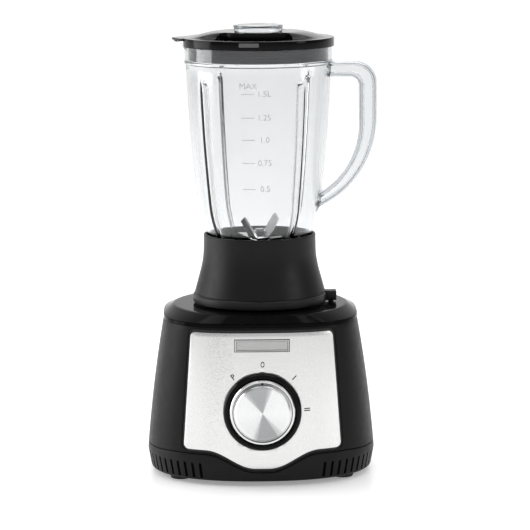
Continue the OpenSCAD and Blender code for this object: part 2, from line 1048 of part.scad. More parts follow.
module blade_carrier() {
    color([0.06, 0.06, 0.065])
        rotate_extrude()
            polygon([
                [bush_r, carrier_z - 14],
                [bush_r + 3, carrier_z - 14],
                [bush_r + 3, carrier_z],
                [carrier_r, carrier_z],
                [carrier_r, carrier_z + carrier_t],
                [bush_r + 12, carrier_z + carrier_t],
                [bush_r + 3, hub_top - 3],
                [bush_r + 2, hub_top],
                [bush_r, hub_top]
            ]);
}

module jug_gasket() {
    color([0.8, 0.8, 0.78])
        translate([0, 0, carrier_z + carrier_t])
            ring(neck_r, neck_r - jug_wall - 1, gasket_t);
}

module blade_bush() {
    color([0.7, 0.55, 0.3])
        translate([0, 0, carrier_z - 14])
            ring(bush_r, shaft_r + run_gap, hub_top - carrier_z + 10);
}

module shaft_seal() {
    color([0.15, 0.15, 0.15])
        translate([0, 0, hub_top - 4])
            ring(bush_r, shaft_r + run_gap, 4);
}

// ---- Blades ----

module blade_shaft() {
    color([0.75, 0.75, 0.76])
        translate([0, 0, socket_top])
            cylinder(r = shaft_r, h = blade_z + 2 * blade_t + nut_h + 1.5 - socket_top);
}

module blade_washer() {
    color([0.75, 0.75, 0.76])
        translate([0, 0, hub_top + lift_gap])
            ring(bush_r - 1, shaft_r, washer_t);
}

// One wing of a blade: flat to the bend, then raised by an angle, with a slanted tip
module wing(reach, bend) {
    translate([bend_x, 0, blade_t / 2])
        rotate([0, -bend, 0])
            translate([-0.4, 0, -blade_t / 2])
                linear_extrude(height = blade_t)
                    polygon([
                        [0, -blade_w / 2],
                        [reach - 5, 1 - blade_w / 2],
                        [reach, blade_w / 2 - 3],
                        [reach - 2, blade_w / 2 - 1.5],
                        [0, blade_w / 2]
                    ]);
}

module blade(z, turn, left, right) {
    rotate([0, 0, turn])
        translate([0, 0, z])
            difference() {
                union() {
                    translate([-bend_x, -blade_w / 2, 0])
                        cube([2 * bend_x, blade_w, blade_t]);
                    wing(right[0], right[1]);
                    rotate([0, 0, 180])
                        wing(left[0], left[1]);
                }
                translate([0, 0, -over])
                    cylinder(r = shaft_r, h = blade_t + 2 * over);
            }
}

module lower_blade() {
    color([0.8, 0.8, 0.8])
        blade(blade_z, -55, [blade_reach - bend_x, 4], [blade_reach - bend_x, 12]);
}

module upper_blade() {
    color([0.8, 0.8, 0.8])
        blade(blade_z + blade_t, 32, [blade_reach - bend_x, 58], [blade_reach - bend_x + 1, 56]);
}

module blade_nut() {
    color([0.72, 0.72, 0.72])
        translate([0, 0, blade_z + 2 * blade_t])
            difference() {
                cylinder(r = 6.6, h = nut_h, $fn = 6);
                translate([0, 0, -over])
                    cylinder(r = shaft_r, h = nut_h + 2 * over);
            }
}

module driven_coupler() {
    color([0.55, 0.55, 0.56])
        translate([0, 0, coupler_z + 0.8])
            difference() {
                cylinder(r = hex_r + 5, h = socket_top - coupler_z + 4);
                translate([0, 0, -over])
                    cylinder(r = hex_r + socket_gap, h = hex_h + 0.7 + over, $fn = 6);
                cylinder(r = shaft_r, h = 40);
            }
}

// ---- Jug ----

module jug_solid() {
    rotate_extrude()
        polygon([
            [0, neck_z],
            [neck_r, neck_z],
            for (z = jug_zs) [jug_out(z), z],
            [jug_r, bead_z],
            [jug_r + bead_d, bead_z],
            [jug_r + bead_d, bead_z + 2],
            [jug_r, bead_z + 2.6],
            [jug_r, jug_top - 1],
            [jug_r - 1, jug_top],
            [0, jug_top]
        ]);
}

module jug_hollow() {
    rotate_extrude()
        polygon([
            [0, neck_z - over],
            [neck_r - jug_wall, neck_z - over],
            for (z = jug_zs) [jug_out(z) - jug_wall, z],
            [jug_r - jug_wall, bead_z],
            [jug_r - jug_wall, jug_top + over],
            [0, jug_top + over]
        ]);
}

// The pouring lip: a wedge on the side opposite the handle, inset by g
module spout(g) {
    hull() {
        translate([-spout_reach + 1.6 + 1.2 * g, 0, jug_top - 3.5 + g])
            cylinder(r = 1.6, h = 3.5 - g + (g > 0 ? over : 0), $fn = 16);
        translate([-jug_r + 3, -spout_w / 2 + g, jug_top - 3.5 + g])
            cube([2, spout_w - 2 * g, 3.5 - g + (g > 0 ? over : 0)]);
        translate([-jug_r + 2, -3 + g, jug_top - spout_drop + g])
            cube([2, 6 - 2 * g, 3]);
    }
}

module rib(turn) {
    half = rib_w / 2 / (jug_r - jug_wall) * 180 / PI;
    rib_low = rim_z + 2.6;
    zs = [for (k = [0:14]) rib_low + (rib_top - 4 - rib_low) * k / 14];
    rotate([0, 0, turn - half])
        rotate_extrude(angle = 2 * half)
            polygon([
                for (z = zs) [jug_out(z) - jug_wall + 0.5, z],
                [jug_out(rib_top) - jug_wall + 0.5, rib_top],
                [jug_out(rib_top) - jug_wall, rib_top],
                for (k = [len(zs) - 1:-1:0]) [jug_out(zs[k]) - jug_wall - rib_d, zs[k]]
            ]);
}

module jug() {
    color([0.86, 0.9, 0.92, 0.35])
        rotate([0, 0, jug_turn]) {
            difference() {
                union() {
                    jug_solid();
                    spout(0);
                }
                jug_hollow();
                spout(2);
            }
            for (a = [-90, 90])
                for (s = [-1, 1])
                    rib(a + s * rib_angle);
        }
}

function grip_in(a) = grip_bend - grip_t + 0.45 * (grip_t - 3) * a / grip_sweep;

// Side view of the handle: x from the jug's axis, y up, inset by g
module grip_outline(g) {
    cx = handle_reach - grip_bend;
    out_r = grip_corner - g;
    in_r = grip_inner + g;
    bar = grip_top - grip_bar;
    in_x = handle_reach - grip_t;
    polygon([
        [neck_r, grip_top - g],
        for (a = [90:-10:0])
            [handle_reach - grip_corner + out_r * cos(a), grip_top - grip_corner + out_r * sin(a)],
        for (a = [0:4:grip_sweep])
            [cx + (grip_bend - g) * cos(a), grip_bend_z - (grip_bend - g) * sin(a)],
        for (a = [grip_sweep:-4:0])
            [cx + (grip_in(a) + g) * cos(a), grip_bend_z - (grip_in(a) + g) * sin(a)],
        for (a = [0:15:90])
            [in_x - in_r + g + in_r * cos(a), bar - in_r + g + in_r * sin(a)],
        [neck_r, bar + g]
    ]);
}

module jug_handle() {
    pocket = (grip_w - web_t) / 2;
    color([0.88, 0.92, 0.94, 0.35])
        rotate([0, 0, jug_turn])
            difference() {
                rotate([90, 0, 0])
                    translate([0, 0, -grip_w / 2])
                        difference() {
                            linear_extrude(height = grip_w)
                                grip_outline(0);
                            translate([0, 0, -over])
                                linear_extrude(height = pocket + over)
                                    grip_outline(lip_t);
                            translate([0, 0, grip_w - pocket])
                                linear_extrude(height = pocket + over)
                                    grip_outline(lip_t);
                        }
                jug_solid();
            }
}

// ---- Lid ----

module pocket_plan(g) {
    intersection() {
        translate([-pocket_w / 2 - g, -pocket_r - 20])
            square([pocket_w + 2 * g, pocket_r]);
        difference() {
            circle(r = pocket_r + g);
            circle(r = hub_r - g);
        }
    }
}

module at_pockets() {
    for (a = [0, 180])
        rotate([0, 0, a])
            children();
}

module lid_beak() {
    top = rim_top - 0.6;
    hull() {
        translate([-spout_reach, 0, top - 1.6])
            cylinder(r = 1, h = 1.6, $fn = 16);
        translate([-lid_r + 3, -spout_w / 2 - 4, top - 2.4])
            cube([3, spout_w + 8, 2.4]);
    }
}

module lid() {
    color([0.07, 0.07, 0.075])
        rotate([0, 0, jug_turn]) {
            difference() {
                union() {
                    rotate_extrude()
                        polygon([
                            [lid_r - lid_wall, lid_z],
                            [lid_r, lid_z],
                            [lid_r, rim_top - 0.8],
                            [lid_r - 0.8, rim_top],
                            [lid_r - 6, rim_top + 0.7],
                            [(lid_r + hub_r) / 2, rim_top + hub_rise * 0.72],
                            [hub_r, hub_z],
                            [cap_r + lift_gap + 0.6, hub_z],
                            [cap_r + lift_gap, hub_z - 0.6],
                            [cap_r + lift_gap, lid_z - 2],
                            [cap_r + lift_gap + lid_wall, lid_z - 2],
                            [cap_r + lift_gap + lid_wall, hub_z - lid_wall],
                            [hub_r - 2, hub_z - lid_wall],
                            [plug_r - lid_wall, rim_top - lid_wall],
                            [plug_r - lid_wall, plug_z],
                            [plug_r, plug_z],
                            [plug_r, rim_top - 2.8],
                            [lid_r - lid_wall, rim_top - 2.8]
                        ]);
                    at_pockets()
                        translate([0, 0, rim_top + hub_rise - pocket_d - 2])
                            linear_extrude(height = pocket_d)
                                pocket_plan(2);
                    lid_beak();
                    translate([-8, -lid_r - 1, lid_z + 1.4])
                        cube([16, 3, 5]);
                }
                at_pockets()
                    translate([0, 0, rim_top + hub_rise - pocket_d])
                        linear_extrude(height = pocket_d + 5)
                            pocket_plan(0);
                translate([-lid_r - 20, -spout_w / 2 - 1, lid_z - over])
                    cube([lid_r + 19 - plug_r, spout_w + 2, jug_top + lift_gap - lid_z + over]);
                difference() {
                    translate([0, 0, lid_z - over])
                        cylinder(r = lid_r - lid_wall, h = rim_top - 2.8 - lid_z + over);
                    translate([0, 0, lid_z - 2 * over])
                        cylinder(r = plug_r + 0.01, h = rim_h + 4);
                }
            }
        }
}

module lid_seal() {
    color([0.3, 0.31, 0.33])
        rotate_extrude()
            polygon([
                [plug_r, plug_z],
                [seal_r - 0.6, plug_z],
                [seal_r, plug_z + 0.8],
                [seal_r, jug_top - 1.5],
                [plug_r, jug_top - 1.5]
            ]);
}

module measuring_cap() {
    seat = hub_z + 0.3;
    color([0.9, 0.93, 0.95, 0.35])
        rotate([0, 0, jug_turn])
            rotate_extrude()
                polygon([
                    [cap_r - cap_wall - 0.8, hub_z - cap_depth],
                    [cap_r - 0.8, hub_z - cap_depth],
                    [cap_r, seat],
                    [cap_r + 1, seat],
                    [cap_r + 1, cap_top - 2.4],
                    [cap_r + cap_flange, cap_top - 2],
                    [cap_r + cap_flange, cap_top - 0.6],
                    [cap_r + cap_flange - 0.6, cap_top],
                    [0, cap_top],
                    [0, cap_top - cap_wall],
                    [cap_r - cap_wall, cap_top - cap_wall]
                ]);
}

motor_housing();
base_pan();
top_deck();
front_panel();
panel_frame();
badge_plate();
dial_bezel();
rubber_feet();
base_screws();
cord_gland();
drip_seal();
stator_core();
field_windings();
upper_bracket();
lower_bracket();
upper_bearing();
lower_bearing();
motor_mounts();
motor_screws();
brush_holders();
carbon_brushes();
selector_switch();
control_board();
board_parts();
interlock_switch();
interlock_pin();
interlock_spring();
knob_body();
knob_disc();
knob_spindle();
motor_shaft();
armature_core();
armature_windings();
commutator();
cooling_fan();
drive_coupler();
jug_collar();
locking_ring();
blade_carrier();
jug_gasket();
blade_bush();
shaft_seal();
blade_shaft();
blade_washer();
lower_blade();
upper_blade();
blade_nut();
driven_coupler();
jug();
jug_handle();
lid();
lid_seal();
measuring_cap();
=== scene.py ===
"""Countertop blender: smooth shells, materials, marks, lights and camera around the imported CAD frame.

Lengths are in millimetres and are turned into metres where a mesh is made. The drive axis is Z, the
floor is z = 0 and the front with the dial faces -Y, as in the frame.
"""

from math import asin, copysign, cos, degrees, exp, hypot, log, pi, radians, sin, sqrt, tan

import bmesh
import bpy
from mathutils import Matrix, Vector


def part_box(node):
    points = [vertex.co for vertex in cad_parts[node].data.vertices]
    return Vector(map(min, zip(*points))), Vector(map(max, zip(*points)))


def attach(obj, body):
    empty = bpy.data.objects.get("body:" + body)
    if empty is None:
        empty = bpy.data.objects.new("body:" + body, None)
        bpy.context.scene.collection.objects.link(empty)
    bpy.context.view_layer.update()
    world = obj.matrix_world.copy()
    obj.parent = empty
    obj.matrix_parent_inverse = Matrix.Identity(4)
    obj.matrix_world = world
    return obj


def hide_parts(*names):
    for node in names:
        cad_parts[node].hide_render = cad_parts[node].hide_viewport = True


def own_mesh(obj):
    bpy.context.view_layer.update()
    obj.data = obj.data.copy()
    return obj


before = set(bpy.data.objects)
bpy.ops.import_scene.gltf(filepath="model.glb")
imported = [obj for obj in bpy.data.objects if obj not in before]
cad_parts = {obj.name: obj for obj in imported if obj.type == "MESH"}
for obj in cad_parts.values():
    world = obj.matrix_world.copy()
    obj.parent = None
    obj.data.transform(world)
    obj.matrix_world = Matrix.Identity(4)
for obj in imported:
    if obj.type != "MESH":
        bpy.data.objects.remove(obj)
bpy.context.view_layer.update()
MM = 0.001
scene = bpy.context.scene


def low(node, axis):
    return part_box(node)[0][axis] / MM


def high(node, axis):
    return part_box(node)[1][axis] / MM


# ---- Sizes, from the frame where a node gives them ----

FOOT_H = low("base_pan", 2)
DECK_Z = high("motor_housing", 2)
HALF_W = high("motor_housing", 0)
FRONT_D = -low("motor_housing", 1)
BACK_D = high("motor_housing", 1)
BAND_H = 17
BAND_Z = FOOT_H + BAND_H
TOP_HALF = 89.5
FRONT_LEAN = 4
BACK_LEAN = 11
WALL = 3
BAND_TAPER = 3.2
SIDE_BULGE = 1.6
PLAN_LOW = 2.3
PLAN_HIGH = 3

PANEL_TOP = DECK_Z - 4.7
PANEL_LOW = FOOT_H + 29.3
PANEL_TOP_HALF = 64.5
PANEL_LOW_HALF = 71.5
PANEL_CORNER = 4.6
PANEL_DIP = 16.3
DIP_IN = 6
DIP_OUT = 52
PANEL_INSET = 1.8
PANEL_PROUD = 0.2
FRAME_W = 2.4
SEAM_DROP = 4
SEAM_GAP = 0.4
SEAM_SIDE = 26
SEAM_Z = BAND_Z + 7

DIAL_Z = 70.3
DIAL_TILT = radians(2)
KNOB_R = 29.8
BEZEL_R = KNOB_R + 5.7
BEZEL_PROUD = 5.3
DISC_R = KNOB_R - 4.5
KNOB_FACE = 7
DISC_PROUD = 5.6

PLATEAU_Z = DECK_Z + 10.5
PLATEAU_R = 80.6
COLLAR_Z = low("jug_collar", 2)
RIM_Z = high("jug_collar", 2)
COLLAR_FOOT_R = high("jug_collar", 0)
COLLAR_RIM_R = 51.8
COLLAR_WALL = 2.5
COLLAR_KNEE = 5
SHELF_Z = COLLAR_Z + 27
LOCK_Z = low("locking_ring", 2)
LOCK_R = COLLAR_FOOT_R + 1.3
TAB_X = high("locking_ring", 0)
TAB_HALF = 6.5
WELL_R = COLLAR_FOOT_R - 16.8
WELL_Z = DECK_Z + 3.5
BOSS_R = WELL_R + 3.5
PIN_X = (low("interlock_pin", 0) + high("interlock_pin", 0)) / 2

JUG_TURN = radians(-7.5)
JUG_TOP = high("jug", 2)
NECK_Z = low("jug", 2)
JUG_R = 67.5
JUG_WALL = 3
NECK_R = COLLAR_RIM_R - COLLAR_WALL - 1.3
BEAD_Z = JUG_TOP - 20.7
BEAD_D = 0.8
BAND_STEP = 0.7
CURVE_TOP = BEAD_Z - 1
RIB_TOP = BEAD_Z - 15.3
RIB_ANGLE = 43
RIB_D = 5
RIB_W = 7.5
SPOUT_PROUD = 11.5
SPOUT_DROP = 11
SPOUT_HALF = 20

HANDLE_REACH = JUG_R + 41.5
GRIP_TOP = BEAD_Z + 1.5
GRIP_BAR = 13.5
GRIP_CORNER = 19.5
GRIP_INNER = 7.7
GRIP_BEND = 90
GRIP_BEND_Z = GRIP_TOP - 51.3
GRIP_SWEEP = 68
GRIP_T = 15.8
GRIP_W = 22
WEB_T = 8
LIP_T = 3.2

LID_Z = JUG_TOP - 5.4
LID_WALL = 1.8
LID_R = JUG_R + 0.4 + LID_WALL
RIM_TOP = JUG_TOP + 2.9
HUB_Z = JUG_TOP + 8.4
HUB_R = 36
POCKET_R = LID_R - 7.7
POCKET_HALF = 35.5
POCKET_D = 8
PLUG_R = JUG_R - JUG_WALL - 2.4
PLUG_Z = low("lid_seal", 2)
SEAL_R = high("lid_seal", 0)
CAP_R = 21.2
CAP_TOP = high("measuring_cap", 2)
CAP_LOW = low("measuring_cap", 2)


# ---- Outlines and surfaces of the base ----

def clamp(u):
    return min(1.0, max(0.0, u))


def ease(u):
    return (1 - cos(pi * clamp(u))) / 2


def rise(z):
    return max(0.0, (z - BAND_Z) / (DECK_Z - BAND_Z))


def taper(z):
    return BAND_TAPER * max(0.0, (BAND_Z - z) / BAND_H)


def bulge(z):
    return 4 * SIDE_BULGE * rise(z) * (1 - rise(z))


def half_w(z):
    return HALF_W + (TOP_HALF - HALF_W) * rise(z) + bulge(z) - taper(z)


def front_d(z):
    return FRONT_D - FRONT_LEAN * rise(z) + bulge(z) / 2 - taper(z)


def back_d(z):
    return BACK_D - BACK_LEAN * rise(z) + bulge(z) - taper(z)


def plan_p(z):
    return PLAN_LOW + (PLAN_HIGH - PLAN_LOW) * rise(z)


def plan_radius(angle, a, front, back, p):
    """Distance from the axis to a superellipse with its own depth in front and behind."""
    c = abs(cos(angle)) / a
    s = abs(sin(angle)) / (front if sin(angle) < 0 else back)
    return (c ** p + s ** p) ** (-1 / p)


def base_point(angle, z, inset=0.0):
    r = plan_radius(angle, half_w(z) - inset, front_d(z) - inset, back_d(z) - inset, plan_p(z))
    return polar(r, angle, z)


def front_y(x, z, out=0.0):
    """The y of the base's front surface, pushed outwards by out."""
    share = min(0.999, abs(x) / (half_w(z) + out))
    p = plan_p(z)
    return -(front_d(z) + out) * (1 - share ** p) ** (1 / p)


def panel_edge(x):
    return PANEL_LOW - PANEL_DIP * (1 - ease((abs(x) - DIP_IN) / (DIP_OUT - DIP_IN)))


def seam(x):
    side = ease((HALF_W - 6 - abs(x)) / SEAM_SIDE)
    return SEAM_Z + (panel_edge(x) - SEAM_DROP - SEAM_Z) * side


def seam_at(angle):
    """Height of the seam between the housing and the pan: wavy in front, level behind."""
    if sin(angle) > 0:
        return SEAM_Z
    return seam(base_point(angle, BAND_Z)[0])


def arc(cx, cy, r, a0, a1, steps):
    """Points on an arc, with its angles in degrees."""
    turns = [radians(a0 + (a1 - a0) * k / steps) for k in range(steps + 1)]
    return [(cx + r * cos(a), cy + r * sin(a)) for a in turns]


def spread(lo, hi, steps):
    """Evenly spaced numbers from lo to hi, both included."""
    return [lo + (hi - lo) * k / steps for k in range(steps + 1)]


def panel_outline(grow):
    """Outline of the steel panel in x and z, anticlockwise from the right side's top corner."""
    r = PANEL_CORNER + grow
    top = PANEL_TOP + grow - r
    bottom = PANEL_LOW - grow + r
    half_top = PANEL_TOP_HALF + grow - r
    half_low = PANEL_LOW_HALF + grow - r
    wave = [(x, panel_edge(x) - grow) for x in spread(-DIP_OUT, DIP_OUT, 40)]
    return (
        arc(half_top, top, r, 0, 90, 6)
        + arc(-half_top, top, r, 90, 180, 6)
        + arc(-half_low, bottom, r, 180, 270, 6)
        + wave
        + arc(half_low, bottom, r, 270, 360, 6)
    )


# ---- Mesh helpers ----

def add_object(name, data):
    obj = bpy.data.objects.new(name, data)
    scene.collection.objects.link(obj)
    return obj


def shift(x, y, z):
    """Matrix that moves by a distance in millimetres."""
    return Matrix.Translation(Vector((x, y, z)) * MM)


def polar(r, angle, z):
    return (r * cos(angle), r * sin(angle), z)


def quads(a, b, count):
    """Faces between two closed rows of points, whose first points are a and b."""
    return [(a + i, a + (i + 1) % count, b + (i + 1) % count, b + i) for i in range(count)]


def add_mesh(name, points, faces, matrix=None):
    mesh = bpy.data.meshes.new(name)
    mesh.from_pydata([Vector(p) * MM for p in points], [], faces)
    mesh.validate()
    obj = add_object(name, mesh)
    if matrix is not None:
        obj.matrix_world = matrix
    return obj


def edit(obj, change):
    """Runs change(bm) on the object's mesh."""
    bm = bmesh.new()
    bm.from_mesh(obj.data)
    change(bm)
    bm.to_mesh(obj.data)
    bm.free()
    obj.data.update()
    return obj


def clean(bm):
    bmesh.ops.remove_doubles(bm, verts=bm.verts, dist=1e-6)
    bmesh.ops.dissolve_degenerate(bm, edges=bm.edges, dist=1e-6)
    bmesh.ops.recalc_face_normals(bm, faces=bm.faces)


def smooth(obj, angle=32):
    """Smooth shading with sharp edges where the surface turns by more than the angle."""
    obj.data.shade_smooth()
    obj.data.set_sharp_from_angle(angle=radians(angle))
    return obj


def tube(name, rings, closed=True, matrix=None, angle=32):
    """Solid through rings of points. Closed joins the last ring to the first, else both ends get a face."""
    cols = len(rings[0])
    rows = len(rings)
    faces = []
    for k in range(rows if closed else rows - 1):
        faces += quads(k * cols, (k + 1) % rows * cols, cols)
    if not closed:
        faces.append(tuple(range(cols))[::-1])
        faces.append(tuple((rows - 1) * cols + i for i in range(cols)))
    obj = add_mesh(name, [p for ring in rings for p in ring], faces, matrix)
    edit(obj, clean)
    return smooth(obj, angle)


def rounded(points, radius=0.5, steps=3, closed=True):
    """A polygon with each corner turned into a small curve. A point's third number is its own radius."""
    out = []
    last = len(points) - 1
    for i, p in enumerate(points):
        r = p[2] if len(p) > 2 else radius
        corner = Vector(p[:2])
        before = Vector(points[i - 1][:2]) - corner
        after = Vector(points[(i + 1) % len(points)][:2]) - corner
        flat = before.length < 1e-6 or after.length < 1e-6 or before.angle(after) > radians(168)
        if r == 0 or flat or (not closed and i in (0, last)):
            out.append(tuple(corner))
            continue
        cut = min(r / tan(before.angle(after) / 2), 0.48 * before.length, 0.48 * after.length)
        start = corner + before.normalized() * cut
        end = corner + after.normalized() * cut
        for k in range(steps + 1):
            t = k / steps
            out.append(tuple(start * (1 - t) ** 2 + corner * 2 * t * (1 - t) + end * t ** 2))
    return out


def revolve(name, profile, steps=128, radius=0.5, matrix=None, angle=32):
    """Turns an outline of (radius, height) points round Z. One that starts on the axis stays open there."""
    closed = profile[0][0] > 0
    outline = rounded(profile, radius, closed=closed)
    turns = [2 * pi * i / steps for i in range(steps)]
    rings = [[polar(r, a, z) for a in turns] for r, z in outline]
    return tube(name, rings, closed, matrix, angle)


def rod(name, r, reach, steps, matrix):
    """Plain round bar along its own Z, reaching equally far both ways."""
    return revolve(name, [(0, -reach), (r, -reach), (r, reach), (0, reach)], steps, 0, matrix)


def prism(name, outline, place, z0, z1):
    """Straight solid on a closed outline; place(u, v, w) gives its points."""
    n = len(outline)
    points = [place(u, v, w) for w in (z0, z1) for u, v in outline]
    faces = [tuple(range(n))[::-1], tuple(range(n, 2 * n))]
    faces += quads(0, n, n)
    return edit(add_mesh(name, points, faces), clean)


def baked(obj):
    """Applies the object's modifiers."""
    graph = bpy.context.evaluated_depsgraph_get()
    mesh = bpy.data.meshes.new_from_object(obj.evaluated_get(graph))
    obj.modifiers.clear()
    old = obj.data
    obj.data = mesh
    bpy.data.meshes.remove(old)
    return obj


def boolean(obj, other, operation, angle=32):
    modifier = obj.modifiers.new("boolean", "BOOLEAN")
    modifier.operation = operation
    modifier.solver = "EXACT"
    modifier.object = other
    baked(obj)
    bpy.data.objects.remove(other)
    edit(obj, clean)
    return smooth(obj, angle)


def cut(obj, other, angle=32):
    return boolean(obj, other, "DIFFERENCE", angle)


def fuse(obj, other, angle=32):
    return boolean(obj, other, "UNION", angle)


def add_bevel(obj, width, segments, limit):
    modifier = obj.modifiers.new("bevel", "BEVEL")
    modifier.width = width * MM
    modifier.segments = segments
    modifier.limit_method = "ANGLE"
    modifier.angle_limit = radians(limit)
    modifier.use_clamp_overlap = True


def bevel(obj, width=0.4, segments=2, limit=40, angle=32):
    """Rounds the edges that turn by more than the limit."""
    add_bevel(obj, width, segments, limit)
    baked(obj)
    return smooth(obj, angle)


def joined(name, parts):
    """One object from several that don't touch."""
    bm = bmesh.new()
    for part in parts:
        mesh = part.data.copy()
        mesh.transform(part.matrix_world)
        bm.from_mesh(mesh)
        bpy.data.meshes.remove(mesh)
        bpy.data.objects.remove(part)
    mesh = bpy.data.meshes.new(name)
    bm.to_mesh(mesh)
    bm.free()
    return add_object(name, mesh)


def place(obj, body, slot, material, *nodes):
    """Gives a piece its finish and the body that it moves with, and hides the CAD nodes that it stands for.
    """
    obj.data.materials.clear()
    obj.data.materials.append(material)
    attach(obj, body)
    if nodes:
        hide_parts(*nodes)
    return obj


def dial_frame(w=0.0):
    """The dial's own frame: Z outwards along its axis, Y up, w out from the panel's face."""
    turn = Matrix.Rotation(pi / 2 - DIAL_TILT, 4, "X")
    spot = shift(0, -front_d(DIAL_Z), DIAL_Z)
    return spot @ turn @ shift(0, 0, w)


# ---- Materials ----

def shader(name):
    """A new material's node tree and its main shader."""
    material = bpy.data.materials.new(name)
    material.use_nodes = True
    tree = material.node_tree
    return material, tree, tree.nodes["Principled BSDF"]


def add_node(tree, kind, **values):
    made = tree.nodes.new("ShaderNode" + kind)
    for key, value in values.items():
        setattr(made, key, value)
    return made


def link(tree, source, output, target, socket):
    tree.links.new(source.outputs[output], target.inputs[socket])


def fill(node, values):
    """Sets constants straight on a node's sockets."""
    for key, value in values.items():
        node.inputs[key].default_value = value


def calc(tree, operation, *values, kind="Math"):
    """A math node fed in order by sockets or numbers."""
    made = add_node(tree, kind, operation=operation)
    for socket, value in zip(made.inputs, values):
        if isinstance(value, bpy.types.NodeSocket):
            tree.links.new(value, socket)
        else:
            socket.default_value = value
    return made


def noise(tree, scale, detail=3.0, stretch=(1, 1, 1), roughness=0.55):
    """Noise in the object's own space, in repeats per metre, stretched along each axis."""
    coords = add_node(tree, "TexCoord")
    mapping = add_node(tree, "Mapping")
    fill(mapping, {"Scale": stretch})
    made = add_node(tree, "TexNoise")
    fill(made, {"Scale": scale, "Detail": detail, "Roughness": roughness})
    link(tree, coords, "Object", mapping, "Vector")
    link(tree, mapping, "Vector", made, "Vector")
    return made


def vary_colour(tree, main, source, dark, light, lo=0.3, hi=0.7):
    ramp = add_node(tree, "ValToRGB")
    ramp.color_ramp.elements[0].position = lo
    ramp.color_ramp.elements[0].color = (*dark, 1)
    ramp.color_ramp.elements[1].position = hi
    ramp.color_ramp.elements[1].color = (*light, 1)
    link(tree, source, 0, ramp, "Fac")
    link(tree, ramp, "Color", main, "Base Color")
    return ramp


def vary_roughness(tree, main, source, lo, hi):
    spread_out = add_node(tree, "MapRange")
    fill(spread_out, {"From Min": 0.3, "From Max": 0.7, "To Min": lo, "To Max": hi})
    link(tree, source, 0, spread_out, "Value")
    link(tree, spread_out, "Result", main, "Roughness")


def add_bump(tree, main, source, strength, depth):
    """Bump of the given strength, with its depth in millimetres."""
    bump = add_node(tree, "Bump")
    fill(bump, {"Strength": strength, "Distance": depth * MM})
    link(tree, source, 0, bump, "Height")
    link(tree, bump, "Normal", main, "Normal")


def moulded(name, base, rough, grain=2600, grain_depth=0.02, strength=0.35, level=0.5, coat=0.0):
    """Moulded plastic or rubber: fine grain, faint flow mottling and slight wear in its gloss."""
    material, tree, main = shader(name)
    mottle = noise(tree, 60, 2)
    dark = tuple(c * 0.86 for c in base)
    light = tuple(min(1, c * 1.14) for c in base)
    vary_colour(tree, main, mottle, dark, light)
    vary_roughness(tree, main, noise(tree, 140, 4), rough * 0.9, min(1, rough * 1.12))
    add_bump(tree, main, noise(tree, grain, 2), strength, grain_depth)
    fill(main, {"Specular IOR Level": level, "Coat Weight": coat, "Coat Roughness": 0.06})
    return material


def metal(name, base, rough, stretch=(1, 1, 1), scale=900, depth=0.01, strength=0.2, contrast=0.12):
    """Metal with tool marks: noise stretched along the way that it was brushed or turned."""
    material, tree, main = shader(name)
    marks = noise(tree, scale, 4, stretch)
    dark = tuple(c * (1 - contrast) for c in base)
    vary_colour(tree, main, marks, dark, base)
    vary_roughness(tree, main, noise(tree, scale * 0.7, 3, stretch), rough * 0.8, rough * 1.25)
    add_bump(tree, main, marks, strength, depth)
    fill(main, {"Metallic": 1})
    return material


def brushed_steel(name, base, rough):
    """Flat sheet brushed along X: long fine streaks, a highlight that spreads across them, and soft upright
    bands of painted reflection in its colour.
    """
    streaks = (14, 3200, 3200)
    material = metal(name, base, rough, streaks, 1.0, 0.002, 0.1, 0.1)
    tree = material.node_tree
    main = tree.nodes["Principled BSDF"]
    fine = noise(tree, 1.0, 4, streaks)
    # Soft bands that change along X are painted reflection. They are mixed with the real brushing streaks to
    # darken the steel's colour.
    painted_bands = noise(tree, 16, 1, (1, 0.1, 0.1))
    total = calc(tree, "MULTIPLY_ADD", painted_bands.outputs[0], 1.6, fine.outputs[0])
    vary_colour(tree, main, total, tuple(c * 0.7 for c in base), base, 0.95, 1.55)
    fill(main, {"Anisotropic": 0.6})
    return material


def turned_metal(name, base, rough, anisotropic, pitch=0.5):
    """Face turned on a lathe: fine rings round the piece's own Z, and a fan-shaped highlight."""
    material, tree, main = shader(name)
    coords = add_node(tree, "TexCoord")
    apart = add_node(tree, "SeparateXYZ")
    flat = add_node(tree, "CombineXYZ")
    length = add_node(tree, "VectorMath", operation="LENGTH")
    rings = add_node(tree, "TexNoise", noise_dimensions="1D")
    fill(rings, {"Scale": 1 / (pitch * MM), "Detail": 3})
    link(tree, coords, "Object", apart, 0)
    link(tree, apart, "X", flat, "X")
    link(tree, apart, "Y", flat, "Y")
    link(tree, flat, 0, length, 0)
    link(tree, length, "Value", rings, "W")
    vary_colour(tree, main, rings, tuple(c * 0.85 for c in base), base)
    vary_roughness(tree, main, rings, rough * 0.8, rough * 1.3)
    add_bump(tree, main, rings, 0.15, 0.01)
    tangent = add_node(tree, "Tangent", direction_type="RADIAL", axis="Z")
    link(tree, tangent, 0, main, "Tangent")
    fill(main, {"Metallic": 1, "Anisotropic": anisotropic, "Anisotropic Rotation": 0.25})
    return material


